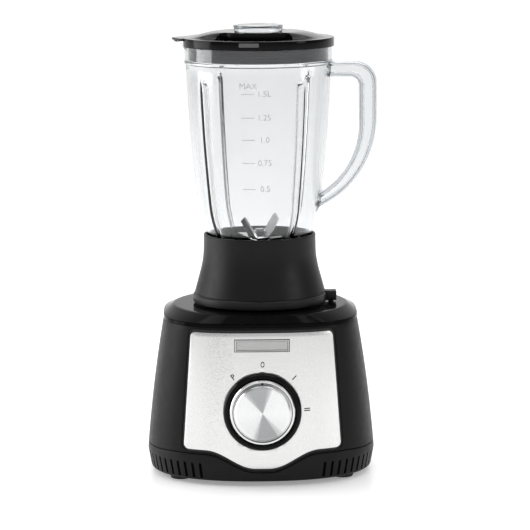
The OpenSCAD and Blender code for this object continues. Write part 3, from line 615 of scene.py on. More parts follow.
def painted_fan_metal(name, dark, light, rough, lean):
    """Spun face with a painted reflection: its colour fans out from its centre in two dark wedges of painted
    shade on a line that leans from its Y, over the turned face's own rings and anisotropic highlight.
    """
    material = turned_metal(name, light, rough, 0.7, 0.35)
    tree = material.node_tree
    main = tree.nodes["Principled BSDF"]
    coords = add_node(tree, "TexCoord")
    apart = add_node(tree, "SeparateXYZ")
    link(tree, coords, "Object", apart, 0)
    # Painted reflection: the colour darkens in two wedges by the angle round the piece's Z, so this fan
    # turns with the piece.
    turn = calc(tree, "ARCTAN2", apart.outputs["X"], apart.outputs["Y"])
    doubled = calc(tree, "MULTIPLY_ADD", turn.outputs[0], 2, -2 * lean)
    wave = calc(tree, "COSINE", doubled.outputs[0])
    fine = add_node(tree, "TexNoise", noise_dimensions="1D")
    fill(fine, {"Scale": 5, "Detail": 3})
    link(tree, turn, 0, fine, "W")
    total = calc(tree, "MULTIPLY_ADD", fine.outputs[0], 0.5, wave.outputs[0])
    vary_colour(tree, main, total, light, dark, 0.55, 1.65)
    return material


def clear(name, tint, rough=0.01, ior=1.49):
    """Clear moulding: faint waves in its surface and a trace of haze."""
    material, tree, main = shader(name)
    haze = noise(tree, 25, 2)
    vary_colour(tree, main, haze, tuple(c * 0.985 for c in tint), tint)
    vary_roughness(tree, main, noise(tree, 90, 3), rough * 0.5, rough * 2)
    add_bump(tree, main, noise(tree, 22, 1), 0.06, 0.08)
    fill(main, {"Transmission Weight": 1, "IOR": ior})
    depth = add_node(tree, "VolumeAbsorption")
    fill(depth, {"Color": (0.66, 0.69, 0.715, 1), "Density": 62})
    tree.links.new(depth.outputs[0], tree.nodes["Material Output"].inputs["Volume"])
    return material


def banded(name, dark, light, pitch, metallic, rough, axis="Z", depth=0.05):
    """Layers or windings: a fine wave along one axis, a pitch apart in millimetres."""
    material, tree, main = shader(name)
    coords = add_node(tree, "TexCoord")
    wave = add_node(tree, "TexWave", wave_type="BANDS", bands_direction=axis)
    fill(wave, {"Scale": 0.314 / (pitch * MM), "Distortion": 0.6, "Detail": 2})
    link(tree, coords, "Object", wave, "Vector")
    vary_colour(tree, main, wave, dark, light, 0.2, 0.8)
    vary_roughness(tree, main, noise(tree, 300, 3), rough * 0.8, rough * 1.2)
    add_bump(tree, main, wave, 0.5, depth)
    fill(main, {"Metallic": metallic})
    return material


def circuit_board(name):
    """Green board with brick-like traces."""
    material, tree, main = shader(name)
    coords = add_node(tree, "TexCoord")
    turn = add_node(tree, "Mapping")
    fill(turn, {"Rotation": (pi / 2, 0, 0)})
    traces = add_node(tree, "TexBrick")
    fill(traces, {"Scale": 90, "Color1": (0.01, 0.1, 0.035, 1), "Color2": (0.012, 0.13, 0.05, 1)})
    fill(traces, {"Mortar": (0.03, 0.2, 0.08, 1)})
    link(tree, coords, "Object", turn, "Vector")
    link(tree, turn, "Vector", traces, "Vector")
    link(tree, traces, "Color", main, "Base Color")
    vary_roughness(tree, main, noise(tree, 200, 2), 0.3, 0.45)
    return material


def make_materials():
    made = {}

    def add(kind, name, *values, **more):
        made[name] = kind(name, *values, **more)

    add(moulded, "housing", (0.003, 0.003, 0.0031), 0.42, level=0.14)
    add(moulded, "pan", (0.004, 0.004, 0.0042), 0.44, level=0.17)
    add(moulded, "deck", (0.004, 0.004, 0.0041), 0.13, 900, 0.006, 0.06, level=0.03)
    add(moulded, "collar", (0.004, 0.004, 0.0042), 0.42, level=0.22)
    add(moulded, "ring", (0.005, 0.005, 0.0052), 0.4, level=0.26)
    add(moulded, "lid", (0.002, 0.002, 0.0021), 0.15, 1800, 0.006, 0.08, level=0.13)
    add(moulded, "frame", (0.004, 0.004, 0.004), 0.5)
    add(moulded, "bezel", (0.002, 0.002, 0.002), 0.16, 900, 0.006, 0.06, level=0.12)
    add(moulded, "rubber", (0.014, 0.014, 0.014), 0.75, 1800, 0.04)
    add(moulded, "gland", (0.012, 0.012, 0.012), 0.6)
    add(moulded, "seal", (0.085, 0.087, 0.092), 0.55, 1500, 0.03, level=0.3)
    add(moulded, "gasket", (0.55, 0.55, 0.52), 0.6)
    add(moulded, "case", (0.035, 0.035, 0.04), 0.5)
    add(moulded, "parts", (0.03, 0.035, 0.06), 0.4)
    add(moulded, "fan", (0.6, 0.6, 0.56), 0.4)
    add(moulded, "coupler", (0.005, 0.005, 0.005), 0.4, level=0.3)
    add(moulded, "carrier", (0.004, 0.004, 0.0042), 0.3, level=0.25)
    add(moulded, "ink", (0.01, 0.01, 0.01), 0.5)
    # Steel panel: real brushing streaks plus painted reflection bands in its colour.
    add(brushed_steel, "panel", (0.74, 0.74, 0.735), 0.3)
    add(metal, "badge", (0.5, 0.5, 0.497), 0.24, (30, 2600, 2600), 1.0, 0.002, 0.1)
    add(turned_metal, "knob_metal", (0.8, 0.8, 0.8), 0.16, 0.3)
    # The knob's disc: spun metal whose colour also holds a painted reflection fan of two dark wedges.
    add(painted_fan_metal, "knob_spun", (0.4, 0.41, 0.415), (0.84, 0.845, 0.845), 0.3, -0.2)
    add(metal, "screw", (0.55, 0.55, 0.56), 0.35)
    add(banded, "core", (0.16, 0.16, 0.17), (0.4, 0.4, 0.42), 0.6, 0.9, 0.45)
    add(banded, "copper", (0.42, 0.13, 0.04), (0.72, 0.28, 0.1), 0.7, 0.9, 0.3)
    add(banded, "commutator", (0.5, 0.24, 0.1), (0.75, 0.42, 0.22), 2.2, 1, 0.25, "X")
    add(metal, "cast", (0.5, 0.5, 0.52), 0.5, (1, 1, 1), 500, 0.05, 0.4)
    add(metal, "bearing", (0.6, 0.6, 0.62), 0.22)
    add(moulded, "carbon", (0.01, 0.01, 0.011), 0.7)
    add(metal, "brass", (0.66, 0.48, 0.18), 0.3)
    add(circuit_board, "board")
    add(metal, "spring", (0.62, 0.62, 0.64), 0.25)
    add(metal, "bronze", (0.52, 0.34, 0.14), 0.4, (1, 1, 1), 400, 0.03)
    add(metal, "blade", (0.68, 0.68, 0.68), 0.2, (60, 1, 60), 20, 0.01, 0.25, 0.2)
    add(metal, "zinc", (0.42, 0.42, 0.43), 0.45, (1, 1, 1), 300, 0.04, 0.4)
    add(clear, "clear", (0.94, 0.943, 0.946))
    add(clear, "clear_cap", (0.93, 0.935, 0.945), 0.02)
    # Light grey for the lid's front tab: a painted highlight on a part of the black lid.
    add(moulded, "tab", (0.08, 0.08, 0.083), 0.3)
    add(moulded, "scale", (0.5, 0.51, 0.52), 0.5)
    return made


# ---- Base ----

COLUMNS = 216
TURNS = [2 * pi * (i + 0.5) / COLUMNS for i in range(COLUMNS)]


def base_rings(rows):
    """Rings of the base's surface; a row is a function of the angle that gives (height, inset)."""
    return [[base_point(a, *row(a)) for a in TURNS] for row in rows]


def level(z, inset):
    return lambda angle: (z, inset)


def above_seam(share, inset, lift=0.0):
    """A row that lies a share of the way from the seam to the deck."""
    def row(angle):
        start = seam_at(angle)
        return (start + lift + (DECK_Z - start - lift) * share, inset)
    return row


def below_seam(drop, inset):
    return lambda angle: (seam_at(angle) - SEAM_GAP - drop, inset)


def from_floor(share, inset, z0):
    """A row that lies a share of the way from z0 to just under the seam."""
    def row(angle):
        top = seam_at(angle) - SEAM_GAP - 0.8
        return (z0 + (top - z0) * share, inset)
    return row


def make_housing():
    outer = [above_seam(s, 0, 0.5) for s in spread(0, 0.985, 36)]
    inner = [above_seam(s, WALL, 0.5) for s in spread(1, 0, 14)]
    rows = [above_seam(0, 0.45)] + outer + [level(DECK_Z, 0.3)] + inner
    obj = tube("housing_shell", base_rings(rows))
    cut(obj, panel_slab("recess", FRAME_W, -5, PANEL_INSET))
    return cut(obj, rod("hole", 8, 8, 48, dial_frame()))


def panel_slab(name, grow, inset_out, inset_in, step=6):
    """A piece of the base's front skin inside the panel's outline, between two insets."""
    bm = bmesh.new()
    outline = [bm.verts.new((x, 0, z)) for x, z in panel_outline(grow)]
    bm.faces.new(outline)
    across = PANEL_LOW_HALF + grow
    cuts = [((x, 0, 0), (1, 0, 0)) for x in spread(-across, across, round(2 * across / step))[1:-1]]
    bottom = PANEL_LOW - PANEL_DIP
    rows = round((PANEL_TOP - bottom) / step)
    cuts += [((0, 0, z), (0, 0, 1)) for z in spread(bottom, PANEL_TOP, rows)[1:-1]]
    for spot, normal in cuts:
        everything = bm.verts[:] + bm.edges[:] + bm.faces[:]
        bmesh.ops.bisect_plane(bm, geom=everything, plane_co=spot, plane_no=normal, dist=1e-5)
    back = bm.faces[:]
    made = bmesh.ops.extrude_face_region(bm, geom=back)
    front = {v for v in made["geom"] if isinstance(v, bmesh.types.BMVert)}
    bmesh.ops.recalc_face_normals(bm, faces=bm.faces)
    for v in bm.verts:
        inset = inset_out if v in front else inset_in
        v.co.y = front_y(v.co.x, v.co.z, -inset)
        v.co *= MM
    mesh = bpy.data.meshes.new(name)
    bm.to_mesh(mesh)
    bm.free()
    return edit(add_object(name, mesh), clean)


def make_pan():
    top = [below_seam(0.8, 0), below_seam(0.25, 0.12), below_seam(0, 0.5), below_seam(0, WALL)]
    outer = [from_floor(s, 0, FOOT_H + 2) for s in spread(0, 1, 12)][:-1]
    bottom = [level(FOOT_H, 40), level(FOOT_H, 2), level(FOOT_H + 0.25, 1), level(FOOT_H + 0.9, 0.3)]
    inner = [from_floor(s, WALL, FOOT_H + 3) for s in spread(1, 0, 4)]
    floor_rows = [level(FOOT_H + 2.5, WALL + 1), level(FOOT_H + 2.5, 40)]
    obj = tube("base_pan_shell", base_rings(bottom + outer + top + inner + floor_rows), False)
    cut(obj, joined("slots", [vent_slot(a) for a in vent_angles()]))
    return cut(obj, rod("gland_hole", 6.5, 30, 40, gland_frame()))


VENT_FROM = 160
VENT_STEP = 4.56
VENT_COUNT = 17
VENT_W = 2.6


def vent_angles():
    right = [radians(VENT_FROM + VENT_STEP * k) for k in range(VENT_COUNT)]
    return right + [pi - a for a in right]


def vent_slot(angle):
    """Cutter for one upright slot with round ends."""
    z0 = FOOT_H + 2.3
    z1 = FOOT_H + BAND_H - 0.3
    r = VENT_W / 2
    outline = arc(0, z1 - r, r, 0, 180, 6) + [(-r, z0), (r, z0)]
    out = Vector((cos(angle), sin(angle), 0))
    side = Vector((-sin(angle), cos(angle), 0))
    return prism("slot", outline, lambda u, v, w: out * w + side * u + Vector((0, 0, v)), 60, 125)


def gland_frame():
    """Frame of the cord's inlet: Z points out of the back."""
    z = FOOT_H + 10
    turn = Matrix.Rotation(-pi / 2, 4, "X")
    return shift(0, back_d(z), z) @ turn


def make_deck():
    """From the edge over the housing, up to the round plateau, the boss and down into its well."""
    lip = 0.5
    a = half_w(DECK_Z) + lip
    front = front_d(DECK_Z) + lip
    back = back_d(DECK_Z) + lip
    shoulder = WELL_Z
    rows = [(0, -4.6, DECK_Z), (0, -0.5, DECK_Z), (0, -0.05, DECK_Z + 0.4)]
    rows += [(0, -0.2 * s, DECK_Z + 0.4 + (shoulder - DECK_Z - 1.2) * s) for s in spread(0, 1, 3)]
    rows += [(0, -0.35, shoulder - 0.3), (0, -0.8, shoulder)]
    for s in spread(0.04, 0.96, 12):
        rows.append((s, 0, shoulder + (PLATEAU_Z - shoulder) * s))
    rows += [(1, 0, PLATEAU_Z - 0.08), (1, -0.5, PLATEAU_Z)]
    rows += [(1, -(PLATEAU_R - r), PLATEAU_Z) for r in (76, 70, 62, 54)]
    boss = [(BOSS_R + 0.5, PLATEAU_Z), (BOSS_R, PLATEAU_Z + 0.5), (BOSS_R, PLATEAU_Z + 5.4)]
    boss += [(BOSS_R - 0.6, PLATEAU_Z + 6), (WELL_R + 0.6, PLATEAU_Z + 6), (WELL_R, PLATEAU_Z + 5.4)]
    boss += [(WELL_R, WELL_Z + 1.5), (WELL_R - 1.5, WELL_Z), (24, WELL_Z), (6.5, WELL_Z)]
    boss += [(6.5, WELL_Z - 2.6), (WELL_R, WELL_Z - 2.6), (76, PLATEAU_Z - 2.6)]
    rows += [(1, r - PLATEAU_R, z) for r, z in boss]
    rows.append((0, -4.6, shoulder - 1.2))
    rings = []
    for mix, inset, z in rows:
        ring = []
        for t in TURNS:
            wide = plan_radius(t, a, front, back, PLAN_HIGH)
            r = wide * (1 - mix) + PLATEAU_R * mix + inset
            ring.append(polar(r, t, z))
        rings.append(ring)
    obj = tube("deck_shell", rings)
    spot = shift(PIN_X, 0, PLATEAU_Z)
    return cut(obj, rod("pin_hole", 2.58, 12, 32, spot))


def block(name, lo, hi, round_by=0.6, matrix=None):
    """Box with rounded edges."""
    corners = [(x, y, z) for z in (lo[2], hi[2]) for y in (lo[1], hi[1]) for x in (lo[0], hi[0])]
    faces = [(0, 2, 3, 1), (4, 5, 7, 6), (0, 1, 5, 4), (2, 6, 7, 3), (0, 4, 6, 2), (1, 3, 7, 5)]
    obj = edit(add_mesh(name, corners, faces, matrix), clean)
    return bevel(obj, round_by, 3)


def make_lugs():
    """Three lugs on the boss that the locking ring turns under."""
    parts = []
    for turn in (30, 150, 270):
        spin = Matrix.Rotation(radians(turn), 4, "Z")
        low_corner = (BOSS_R - 0.2, -5, PLATEAU_Z + 1.8)
        parts.append(block("lug", low_corner, (BOSS_R + 3, 5, PLATEAU_Z + 4.8), 0.5, spin))
    return smooth(joined("boss_lugs", parts))


def make_panel():
    obj = panel_slab("steel_panel", 0, -PANEL_PROUD, PANEL_INSET, 4)
    cut(obj, rod("hole", BEZEL_R + 0.05, 30, 128, dial_frame()))
    return bevel(obj, 0.3, 2, 50)


def make_frame():
    """Dark frame that lines the recess around the panel."""
    obj = panel_slab("panel_surround", FRAME_W - 0.1, PANEL_INSET - 1, PANEL_INSET)
    return cut(obj, panel_slab("inside", 0.05, -5, 9, 12))


BADGE_Z = 130.5
BADGE_HALF = 24.5
BADGE_H = 10.5


def plate(name, edges):
    """Flat plate bent to the panel, from a list of steps inwards and outwards from the badge's edge."""
    tall = BADGE_H / 2
    points = []
    columns = 24
    for inset, out in edges:
        half = BADGE_HALF - inset
        for s in spread(-1, 1, columns):
            points.append((half * s, tall - inset, out))
        for s in spread(1, -1, columns):
            points.append((half * s, -tall + inset, out))
    ring = 2 * (columns + 1)
    faces = []
    for k in range(len(edges) - 1):
        faces += quads(k * ring, (k + 1) * ring, ring)
    for base in (0, (len(edges) - 1) * ring):
        for i in range(columns):
            faces.append((base + i, base + i + 1, base + ring - 2 - i, base + ring - 1 - i))
    wrapped = [(x, front_y(x, BADGE_Z + z, out), BADGE_Z + z) for x, z, out in points]
    return smooth(edit(add_mesh(name, wrapped, faces), clean), 25)


def make_badge():
    """Blank plate with a raised border."""
    return plate("blank_badge", ((0, 0.2), (0, 1.1), (0.4, 1.5), (1.1, 1.5), (1.7, 0.5)))


def make_badge_painted_shadow():
    """Dark sheet a little wider than the badge, on the panel under its edge: a painted shadow line round the
    raised plate.
    """
    return plate("badge_painted_shadow_line", ((-0.6, 0.02), (-0.6, 0.2), (-0.4, 0.3), (0.5, 0.3)))


def make_bezel():
    low_w = -3.2
    profile = [
        (KNOB_R + 0.7, low_w, 0), (BEZEL_R - 0.05, low_w, 0), (BEZEL_R - 0.05, BEZEL_PROUD - 2.6, 1.6),
        (BEZEL_R - 1.7, BEZEL_PROUD - 0.5, 1.5), (KNOB_R + 2.2, BEZEL_PROUD, 1.0),
        (KNOB_R + 0.7, BEZEL_PROUD - 0.8, 0.8),
    ]
    obj = revolve("dial_bezel_ring", profile, 160, matrix=dial_frame())
    floor_disc = [(0, -0.6), (KNOB_R + 1.2, -0.6), (KNOB_R + 1.2, 0.9), (0, 0.9)]
    dish = revolve("dish", floor_disc, 96, 0, dial_frame())
    return smooth(joined("dial_bezel_shell", [obj, dish]))


def make_knob():
    """Bright skirt and rim with a groove round the disc."""
    profile = [
        (0, 1.4), (KNOB_R - 1.0, 1.4, 0.5), (KNOB_R - 0.2, 2.2, 0.5), (KNOB_R, KNOB_FACE - 1.2, 0.8),
        (KNOB_R - 1.1, KNOB_FACE + 0.55, 0.6), (DISC_R + 1.9, KNOB_FACE + 0.6, 0.5),
        (DISC_R + 1.3, KNOB_FACE - 0.8, 0.3), (0, KNOB_FACE - 0.8),
    ]
    return revolve("knob_skirt", profile, 160, matrix=dial_frame())


def make_disc():
    """Raised disc, very slightly dished, with a bright chamfer."""
    top = DISC_PROUD
    profile = [(0, 0.0), (DISC_R, 0.0), (DISC_R, top - 1.6, 0.6), (DISC_R - 1.3, top, 0.5)]
    profile += [(DISC_R * s, top - 0.5 * (1 - s ** 2)) for s in (0.85, 0.7, 0.55, 0.4, 0.25, 0.12, 0)]
    return revolve("knob_face_disc", profile, 160, matrix=dial_frame(KNOB_FACE))


def make_pointer():
    """Small wedge in the knob's groove that points at the marks."""
    outline = [(-1.2, DISC_R + 0.1), (1.2, DISC_R + 0.1), (0.5, DISC_R + 2.4), (-0.5, DISC_R + 2.4)]
    obj = prism("dial_pointer", outline, lambda u, v, w: (u, v, w), KNOB_FACE - 1, KNOB_FACE + 0.75)
    obj.matrix_world = dial_frame()
    return bevel(obj, 0.2)


def lettering(text, size, weight=0.0, squeeze=1.0):
    """A filled flat mesh of the text, centred, in millimetres on X and Y; weight thickens its strokes."""
    curve = bpy.data.curves.new("text", "FONT")
    curve.body = text
    curve.size = size
    curve.align_x = "CENTER"
    curve.align_y = "CENTER"
    curve.resolution_u = 3
    curve.offset = weight
    made = add_object("text", curve)
    graph = bpy.context.evaluated_depsgraph_get()
    mesh = bpy.data.meshes.new_from_object(made.evaluated_get(graph))
    mesh.transform(Matrix.Diagonal((squeeze, 1, 1, 1)))
    bpy.data.objects.remove(made)
    return mesh


def raised(name, mesh, place_point, thick):
    """Turns a flat mesh into a thin solid; place_point(u, v, out) puts a point on the surface."""
    bm = bmesh.new()
    bm.from_mesh(mesh)
    made = bmesh.ops.extrude_face_region(bm, geom=bm.faces[:])
    top = {v for v in made["geom"] if isinstance(v, bmesh.types.BMVert)}
    for v in bm.verts:
        v.co = Vector(place_point(v.co.x, v.co.y, thick if v in top else -thick)) * MM
    bmesh.ops.recalc_face_normals(bm, faces=bm.faces)
    bm.to_mesh(mesh)
    bm.free()
    return add_object(name, mesh)


# Text, angle from the top, distance from the dial's axis and width of each mark
DIAL_MARKS = (("P", -39.7, 41, 0.9), ("O", 0.5, 42.7, 0.62), ("I", 43.5, 42, 1), ("II", 88.5, 40.3, 1))


def make_dial_marks():
    """Pulse, off and two speeds, each turned with its place round the dial."""
    parts = []
    for text, angle, away, squeeze in DIAL_MARKS:
        turn = radians(angle)

        def on_panel(u, v, out, turn=turn, away=away):
            x = away * sin(turn) + u * cos(turn) + v * sin(turn)
            z = DIAL_Z + away * cos(turn) - u * sin(turn) + v * cos(turn)
            return (x, front_y(x, z, PANEL_PROUD + out), z)

        parts.append(raised("mark", lettering(text, 7.4, 0.12, squeeze), on_panel, 0.08))
    return joined("dial_marks", parts)


def make_feet():
    parts = []
    for side in (-1, 1):
        for x, y in ((HALF_W - 30.7, 45 - FRONT_D), (HALF_W - 39.7, BACK_D - 34)):
            spot = shift(side * x, y, 0)
            profile = [(0, 0), (6, 0), (6.4, 0.5), (7.2, 0.5), (7.6, 0), (8.7, 0), (9.5, 1.2, 0.8)]
            profile += [(9.5, FOOT_H), (0, FOOT_H)]
            parts.append(revolve("foot", profile, 48, 0.3, spot))
    return smooth(joined("feet", parts))


def make_gland():
    """Flanged grommet in the back with grip rings round its mouth."""
    profile = [(3.6, -9.5), (6.4, -9.5), (6.4, 0.15), (8.5, 0.15), (8.5, 1.6, 0.8)]
    profile += [(7, 1.9), (6, 1.9), (5.6, 1.2), (5, 1.2), (4.6, 1.9), (3.6, 1.9)]
    return revolve("cord_inlet_gland", profile, 64, 0.3, gland_frame())


# ---- Blade unit ----

def soft(u):
    return log(1 + exp(u)) if u < 20 else u


def collar_r(z):
    flare = soft((RIM_Z - 23 - z) / COLLAR_KNEE) / soft((RIM_Z - 23 - COLLAR_Z) / COLLAR_KNEE)
    return COLLAR_RIM_R + (COLLAR_FOOT_R - COLLAR_RIM_R) * flare


def make_collar():
    bore = COLLAR_RIM_R - COLLAR_WALL
    shelf_in = bore - 8.8
    outer = [(collar_r(z), z, 0) for z in spread(COLLAR_Z + 0.5, RIM_Z - 1.4, 30)]
    inner = [(collar_r(z) - COLLAR_WALL, z, 0) for z in spread(SHELF_Z - 2, COLLAR_Z, 10)]
    profile = [(COLLAR_FOOT_R - 0.4, COLLAR_Z, 0)] + outer
    profile += [(COLLAR_RIM_R - 0.1, RIM_Z, 1.0), (bore, RIM_Z, 0.8), (bore, SHELF_Z + 4, 0.5)]
    profile += [(shelf_in, SHELF_Z + 4), (shelf_in, SHELF_Z), (collar_r(SHELF_Z) - COLLAR_WALL, SHELF_Z, 1)]
    return revolve("collar_shell", profile + inner, 160)


def make_index_mark():
    """Small raised bar at the collar's front foot that lines up with the ring."""
    tall = 11
    half = radians(1.6)
    columns = spread(-half, half, 4)
    rows = spread(COLLAR_Z + 0.05, COLLAR_Z + tall, 8)
    rings = []
    for z in rows:
        face = [(collar_r(z) + 0.6, a) for a in columns]
        back = [(collar_r(z) - 0.6, a) for a in reversed(columns)]
        rings.append([(r * sin(a), -r * cos(a), z) for r, a in face + back])
    return bevel(tube("index_mark", rings, False), 0.25)


def make_ring():
    inner = BOSS_R + 4
    edge = COLLAR_FOOT_R - COLLAR_WALL
    profile = [
        (inner, LOCK_Z), (LOCK_R, LOCK_Z, 0.9), (LOCK_R, COLLAR_Z - 1.5, 0.7),
        (LOCK_R - 1.5, COLLAR_Z, 0.5), (edge - 1.6, COLLAR_Z, 0.2), (edge - 1.6, COLLAR_Z + 5, 0.3),
        (edge - 3.6, COLLAR_Z + 5, 0.3), (edge - 3.6, LOCK_Z + 3, 0.5), (inner, LOCK_Z + 3),
    ]
    obj = revolve("lock_ring_shell", profile, 160)
    tab = block("tab", (LOCK_R - 2, -TAB_HALF, LOCK_Z), (TAB_X, TAB_HALF, COLLAR_Z + 0.6), 0.9)
    hollow_lo = (LOCK_R - 3, -TAB_HALF + 1.8, LOCK_Z - 2)
    cut(tab, block("hollow", hollow_lo, (TAB_X - 1.6, TAB_HALF - 1.8, COLLAR_Z - 1), 0.4))
    return fuse(obj, tab)


# ---- Jug ----

def jug_out(z):
    """Outer radius of the jug below its upper band."""
    u = (CURVE_TOP - z) / (CURVE_TOP - RIM_Z)
    k = max(0.0, RIM_Z + 30 - z) / 30
    top = JUG_R - BAND_STEP
    return top - 5 * u - (top - 5 - NECK_R - 5.1) * u * u - 5.1 * k * k


def jug_angles():
    """Directions round the jug: even ones, with more across each rib and the pouring lip."""
    found = set(spread(0, 360, 120)[:-1])
    half_rib = degrees(RIB_W / 2 / (JUG_R - JUG_WALL))
    for centre in rib_centres():
        found.update(centre + half_rib * s for s in spread(-1.1, 1.1, 16))
    found.update(180 + s for s in spread(-18, 18, 36))
    return sorted(radians(a) for a in set(round(a % 360, 4) for a in found))


def rib_centres():
    return [a + s * RIB_ANGLE for a in (90, 270) for s in (-1, 1)]


def rib_depth(angle, z):
    """How far a flute pushes the jug's wall in: a ridge inside and a groove outside, with a round top."""
    if z > RIB_TOP:
        return 0.0
    half = RIB_W / 2
    over = max(0.0, z - (RIB_TOP - half)) / half
    top = sqrt(max(0.0, 1 - over ** 2))
    foot = ease((z - (NECK_Z + 4)) / 8)
    for centre in rib_centres():
        away = abs((degrees(angle) - centre + 180) % 360 - 180)
        across = radians(away) * (JUG_R - JUG_WALL) / half
        if across < 1:
            return RIB_D * (1 - across ** 2.4) * top * foot
    return 0.0


def spout_push(angle, z):
    """How far the pouring lip stands out, on the side opposite the handle."""
    away = abs(degrees(angle) - 180)
    half = degrees(asin(SPOUT_HALF / JUG_R))
    share = clamp(1 - away / half)
    side = 0.55 * share + 0.45 * ease(share)
    return SPOUT_PROUD * side * clamp((z - (JUG_TOP - SPOUT_DROP)) / SPOUT_DROP) ** 0.9


def make_jug():
    """One clear moulding: a tapered vessel with a beaded band, inner ribs and a pouring lip."""
    turn_angles = jug_angles()
    foot = NECK_Z + 0.08
    lower = [(jug_out(z), z, 0) for z in spread(RIM_Z, CURVE_TOP, 34)]
    band = spread(BEAD_Z + 3.4, JUG_TOP - 1.6, 8)
    outer = [(NECK_R, foot, 0.8), (NECK_R, RIM_Z - 4, 0)] + lower
    outer += [(JUG_R, BEAD_Z, 0.3), (JUG_R + BEAD_D, BEAD_Z + 0.1, 0.5), (JUG_R + BEAD_D, BEAD_Z + 2.1, 0.5)]
    outer += [(JUG_R, BEAD_Z + 2.7, 0.3)] + [(JUG_R, z, 0) for z in band]
    lip = [(JUG_R, JUG_TOP, 1.3), (JUG_R - JUG_WALL, JUG_TOP, 1.3)]
    fine = sorted(set(spread(RIM_Z, CURVE_TOP, 30) + spread(RIB_TOP - RIB_W / 2, RIB_TOP, 6)), reverse=True)
    inside = [(JUG_R - JUG_WALL, z, 0) for z in reversed(band)]
    inside += [(JUG_R - JUG_WALL, BEAD_Z, 0)] + [(jug_out(z) - JUG_WALL, z, 0) for z in fine]
    inside += [(NECK_R - JUG_WALL, z, 0) for z in spread(RIM_Z - 2, NECK_Z + 1, 6)]
    inside += [(NECK_R - JUG_WALL, foot, 0.8)]
    outline = rounded(outer + lip + inside, 0)
    rings = []
    turned = False
    for r, z in outline:
        turned = turned or (z > JUG_TOP - 1 and r < JUG_R - JUG_WALL + 1.3)
        ring = []
        for a in turn_angles:
            q = r + spout_push(a, z) - rib_depth(a, z) * (1 if turned else 0.88)
            ring.append(polar(q, a + JUG_TURN, z))
        rings.append(ring)
    return tube("clear_jug", rings, angle=50)


def grip_in(a):
    return GRIP_BEND - GRIP_T + 0.45 * (GRIP_T - 3) * a / GRIP_SWEEP


def grip_outline(inset, root):
    """Side view of the handle, x from the jug's axis and z up, closed at x = root."""
    cx = HANDLE_REACH - GRIP_BEND
    in_x = HANDLE_REACH - GRIP_T
    bar = GRIP_TOP - GRIP_BAR
    out = [(root, GRIP_TOP - inset)]
    out += arc(HANDLE_REACH - GRIP_CORNER, GRIP_TOP - GRIP_CORNER, GRIP_CORNER - inset, 90, 0, 14)
    out += arc(cx, GRIP_BEND_Z, GRIP_BEND - inset, 0, -GRIP_SWEEP, 26)
    for a in reversed(spread(0, GRIP_SWEEP, 26)):
        turn = radians(a)
        r = grip_in(a) + inset
        out.append((cx + r * cos(turn), GRIP_BEND_Z - r * sin(turn)))
    out += arc(in_x - GRIP_INNER, bar - GRIP_INNER, GRIP_INNER + inset, 0, 90, 10)
    out.append((root, bar + inset))
    return out


def make_handle():
    """Handle with a hollow in each side, so that a thin web is left between two flanges."""
    root = 50
    steps = (
        (0.9, GRIP_W / 2), (0.25, GRIP_W / 2 - 0.25), (0.0, GRIP_W / 2 - 0.9),
    )
    hollow = (
        (LIP_T - 0.6, GRIP_W / 2), (LIP_T - 0.1, GRIP_W / 2 - 0.5), (LIP_T + 0.3, WEB_T / 2 + 0.9),
        (LIP_T + 1.0, WEB_T / 2),
    )
    layers = [(i, -w) for i, w in reversed(hollow)] + [(i, -w) for i, w in steps]
    layers += [(i, w) for i, w in reversed(steps)] + [(i, w) for i, w in hollow]
    spin = Matrix.Rotation(JUG_TURN, 3, "Z")
    rings = []
    for inset, w in layers:
        rings.append([spin @ Vector((x, -w, z)) for x, z in grip_outline(inset, root)])
    return tube("clear_handle", rings, False, angle=50)


def make_vessel():
    """The jug and its handle as the one moulding that they are."""
    jug = make_jug()
    handle = make_handle()
    inner = [(0, 250)] + [(jug_out(z) - 1.5, z) for z in spread(250, CURVE_TOP, 24)]
    inner += [(JUG_R - 1.5, BEAD_Z), (JUG_R - 1.5, JUG_TOP - 4), (0, JUG_TOP - 4)]
    cut(handle, revolve("inside", inner, 128, 0), 50)
    return fuse(jug, handle, 50)


def on_jug(u, v, out):
    """A point on the jug's outer wall: u round it from its front line, v the height."""
    r = jug_out(v) + out
    turn = u / jug_out(v) - pi / 2 + JUG_TURN
    return polar(r, turn, v)


MARK_LEVELS = (("1.5L", 356.0), ("1.25", 334.7), ("1.0", 314.5), ("0.75", 293.4), ("0.5", 269.5))


def tick(z):
    """Flat bar for a level line, 12.6 wide, with enough points to follow the wall."""
    mesh = bpy.data.meshes.new("tick")
    xs = spread(-8.4, 3.4, 8)
    points = [(x, z - 0.3, 0) for x in xs] + [(x, z + 0.3, 0) for x in xs]
    faces = [(i, i + 1, i + 10, i + 9) for i in range(8)]
    mesh.from_pydata(points, [], faces)
    return mesh


def make_scale():
    """Raised level lines with their volumes, and the word that marks the fullest."""
    parts = []
    for text, z in MARK_LEVELS:
        parts.append(raised("tick", tick(z), on_jug, 0.15))
        centre = 12.3
        move = lambda u, v, out, z=z, c=centre: on_jug(u + c, v + z, out)
        parts.append(raised("number", lettering(text, 7.6), move, 0.15))
    top = MARK_LEVELS[0][1] + 7.2
    parts.append(raised("word", lettering("MAX", 7.6), lambda u, v, out: on_jug(u - 2, v + top, out), 0.15))
    return joined("volume_marks", parts)


# ---- Lid ----

WITH_JUG = Matrix.Rotation(JUG_TURN, 4, "Z")


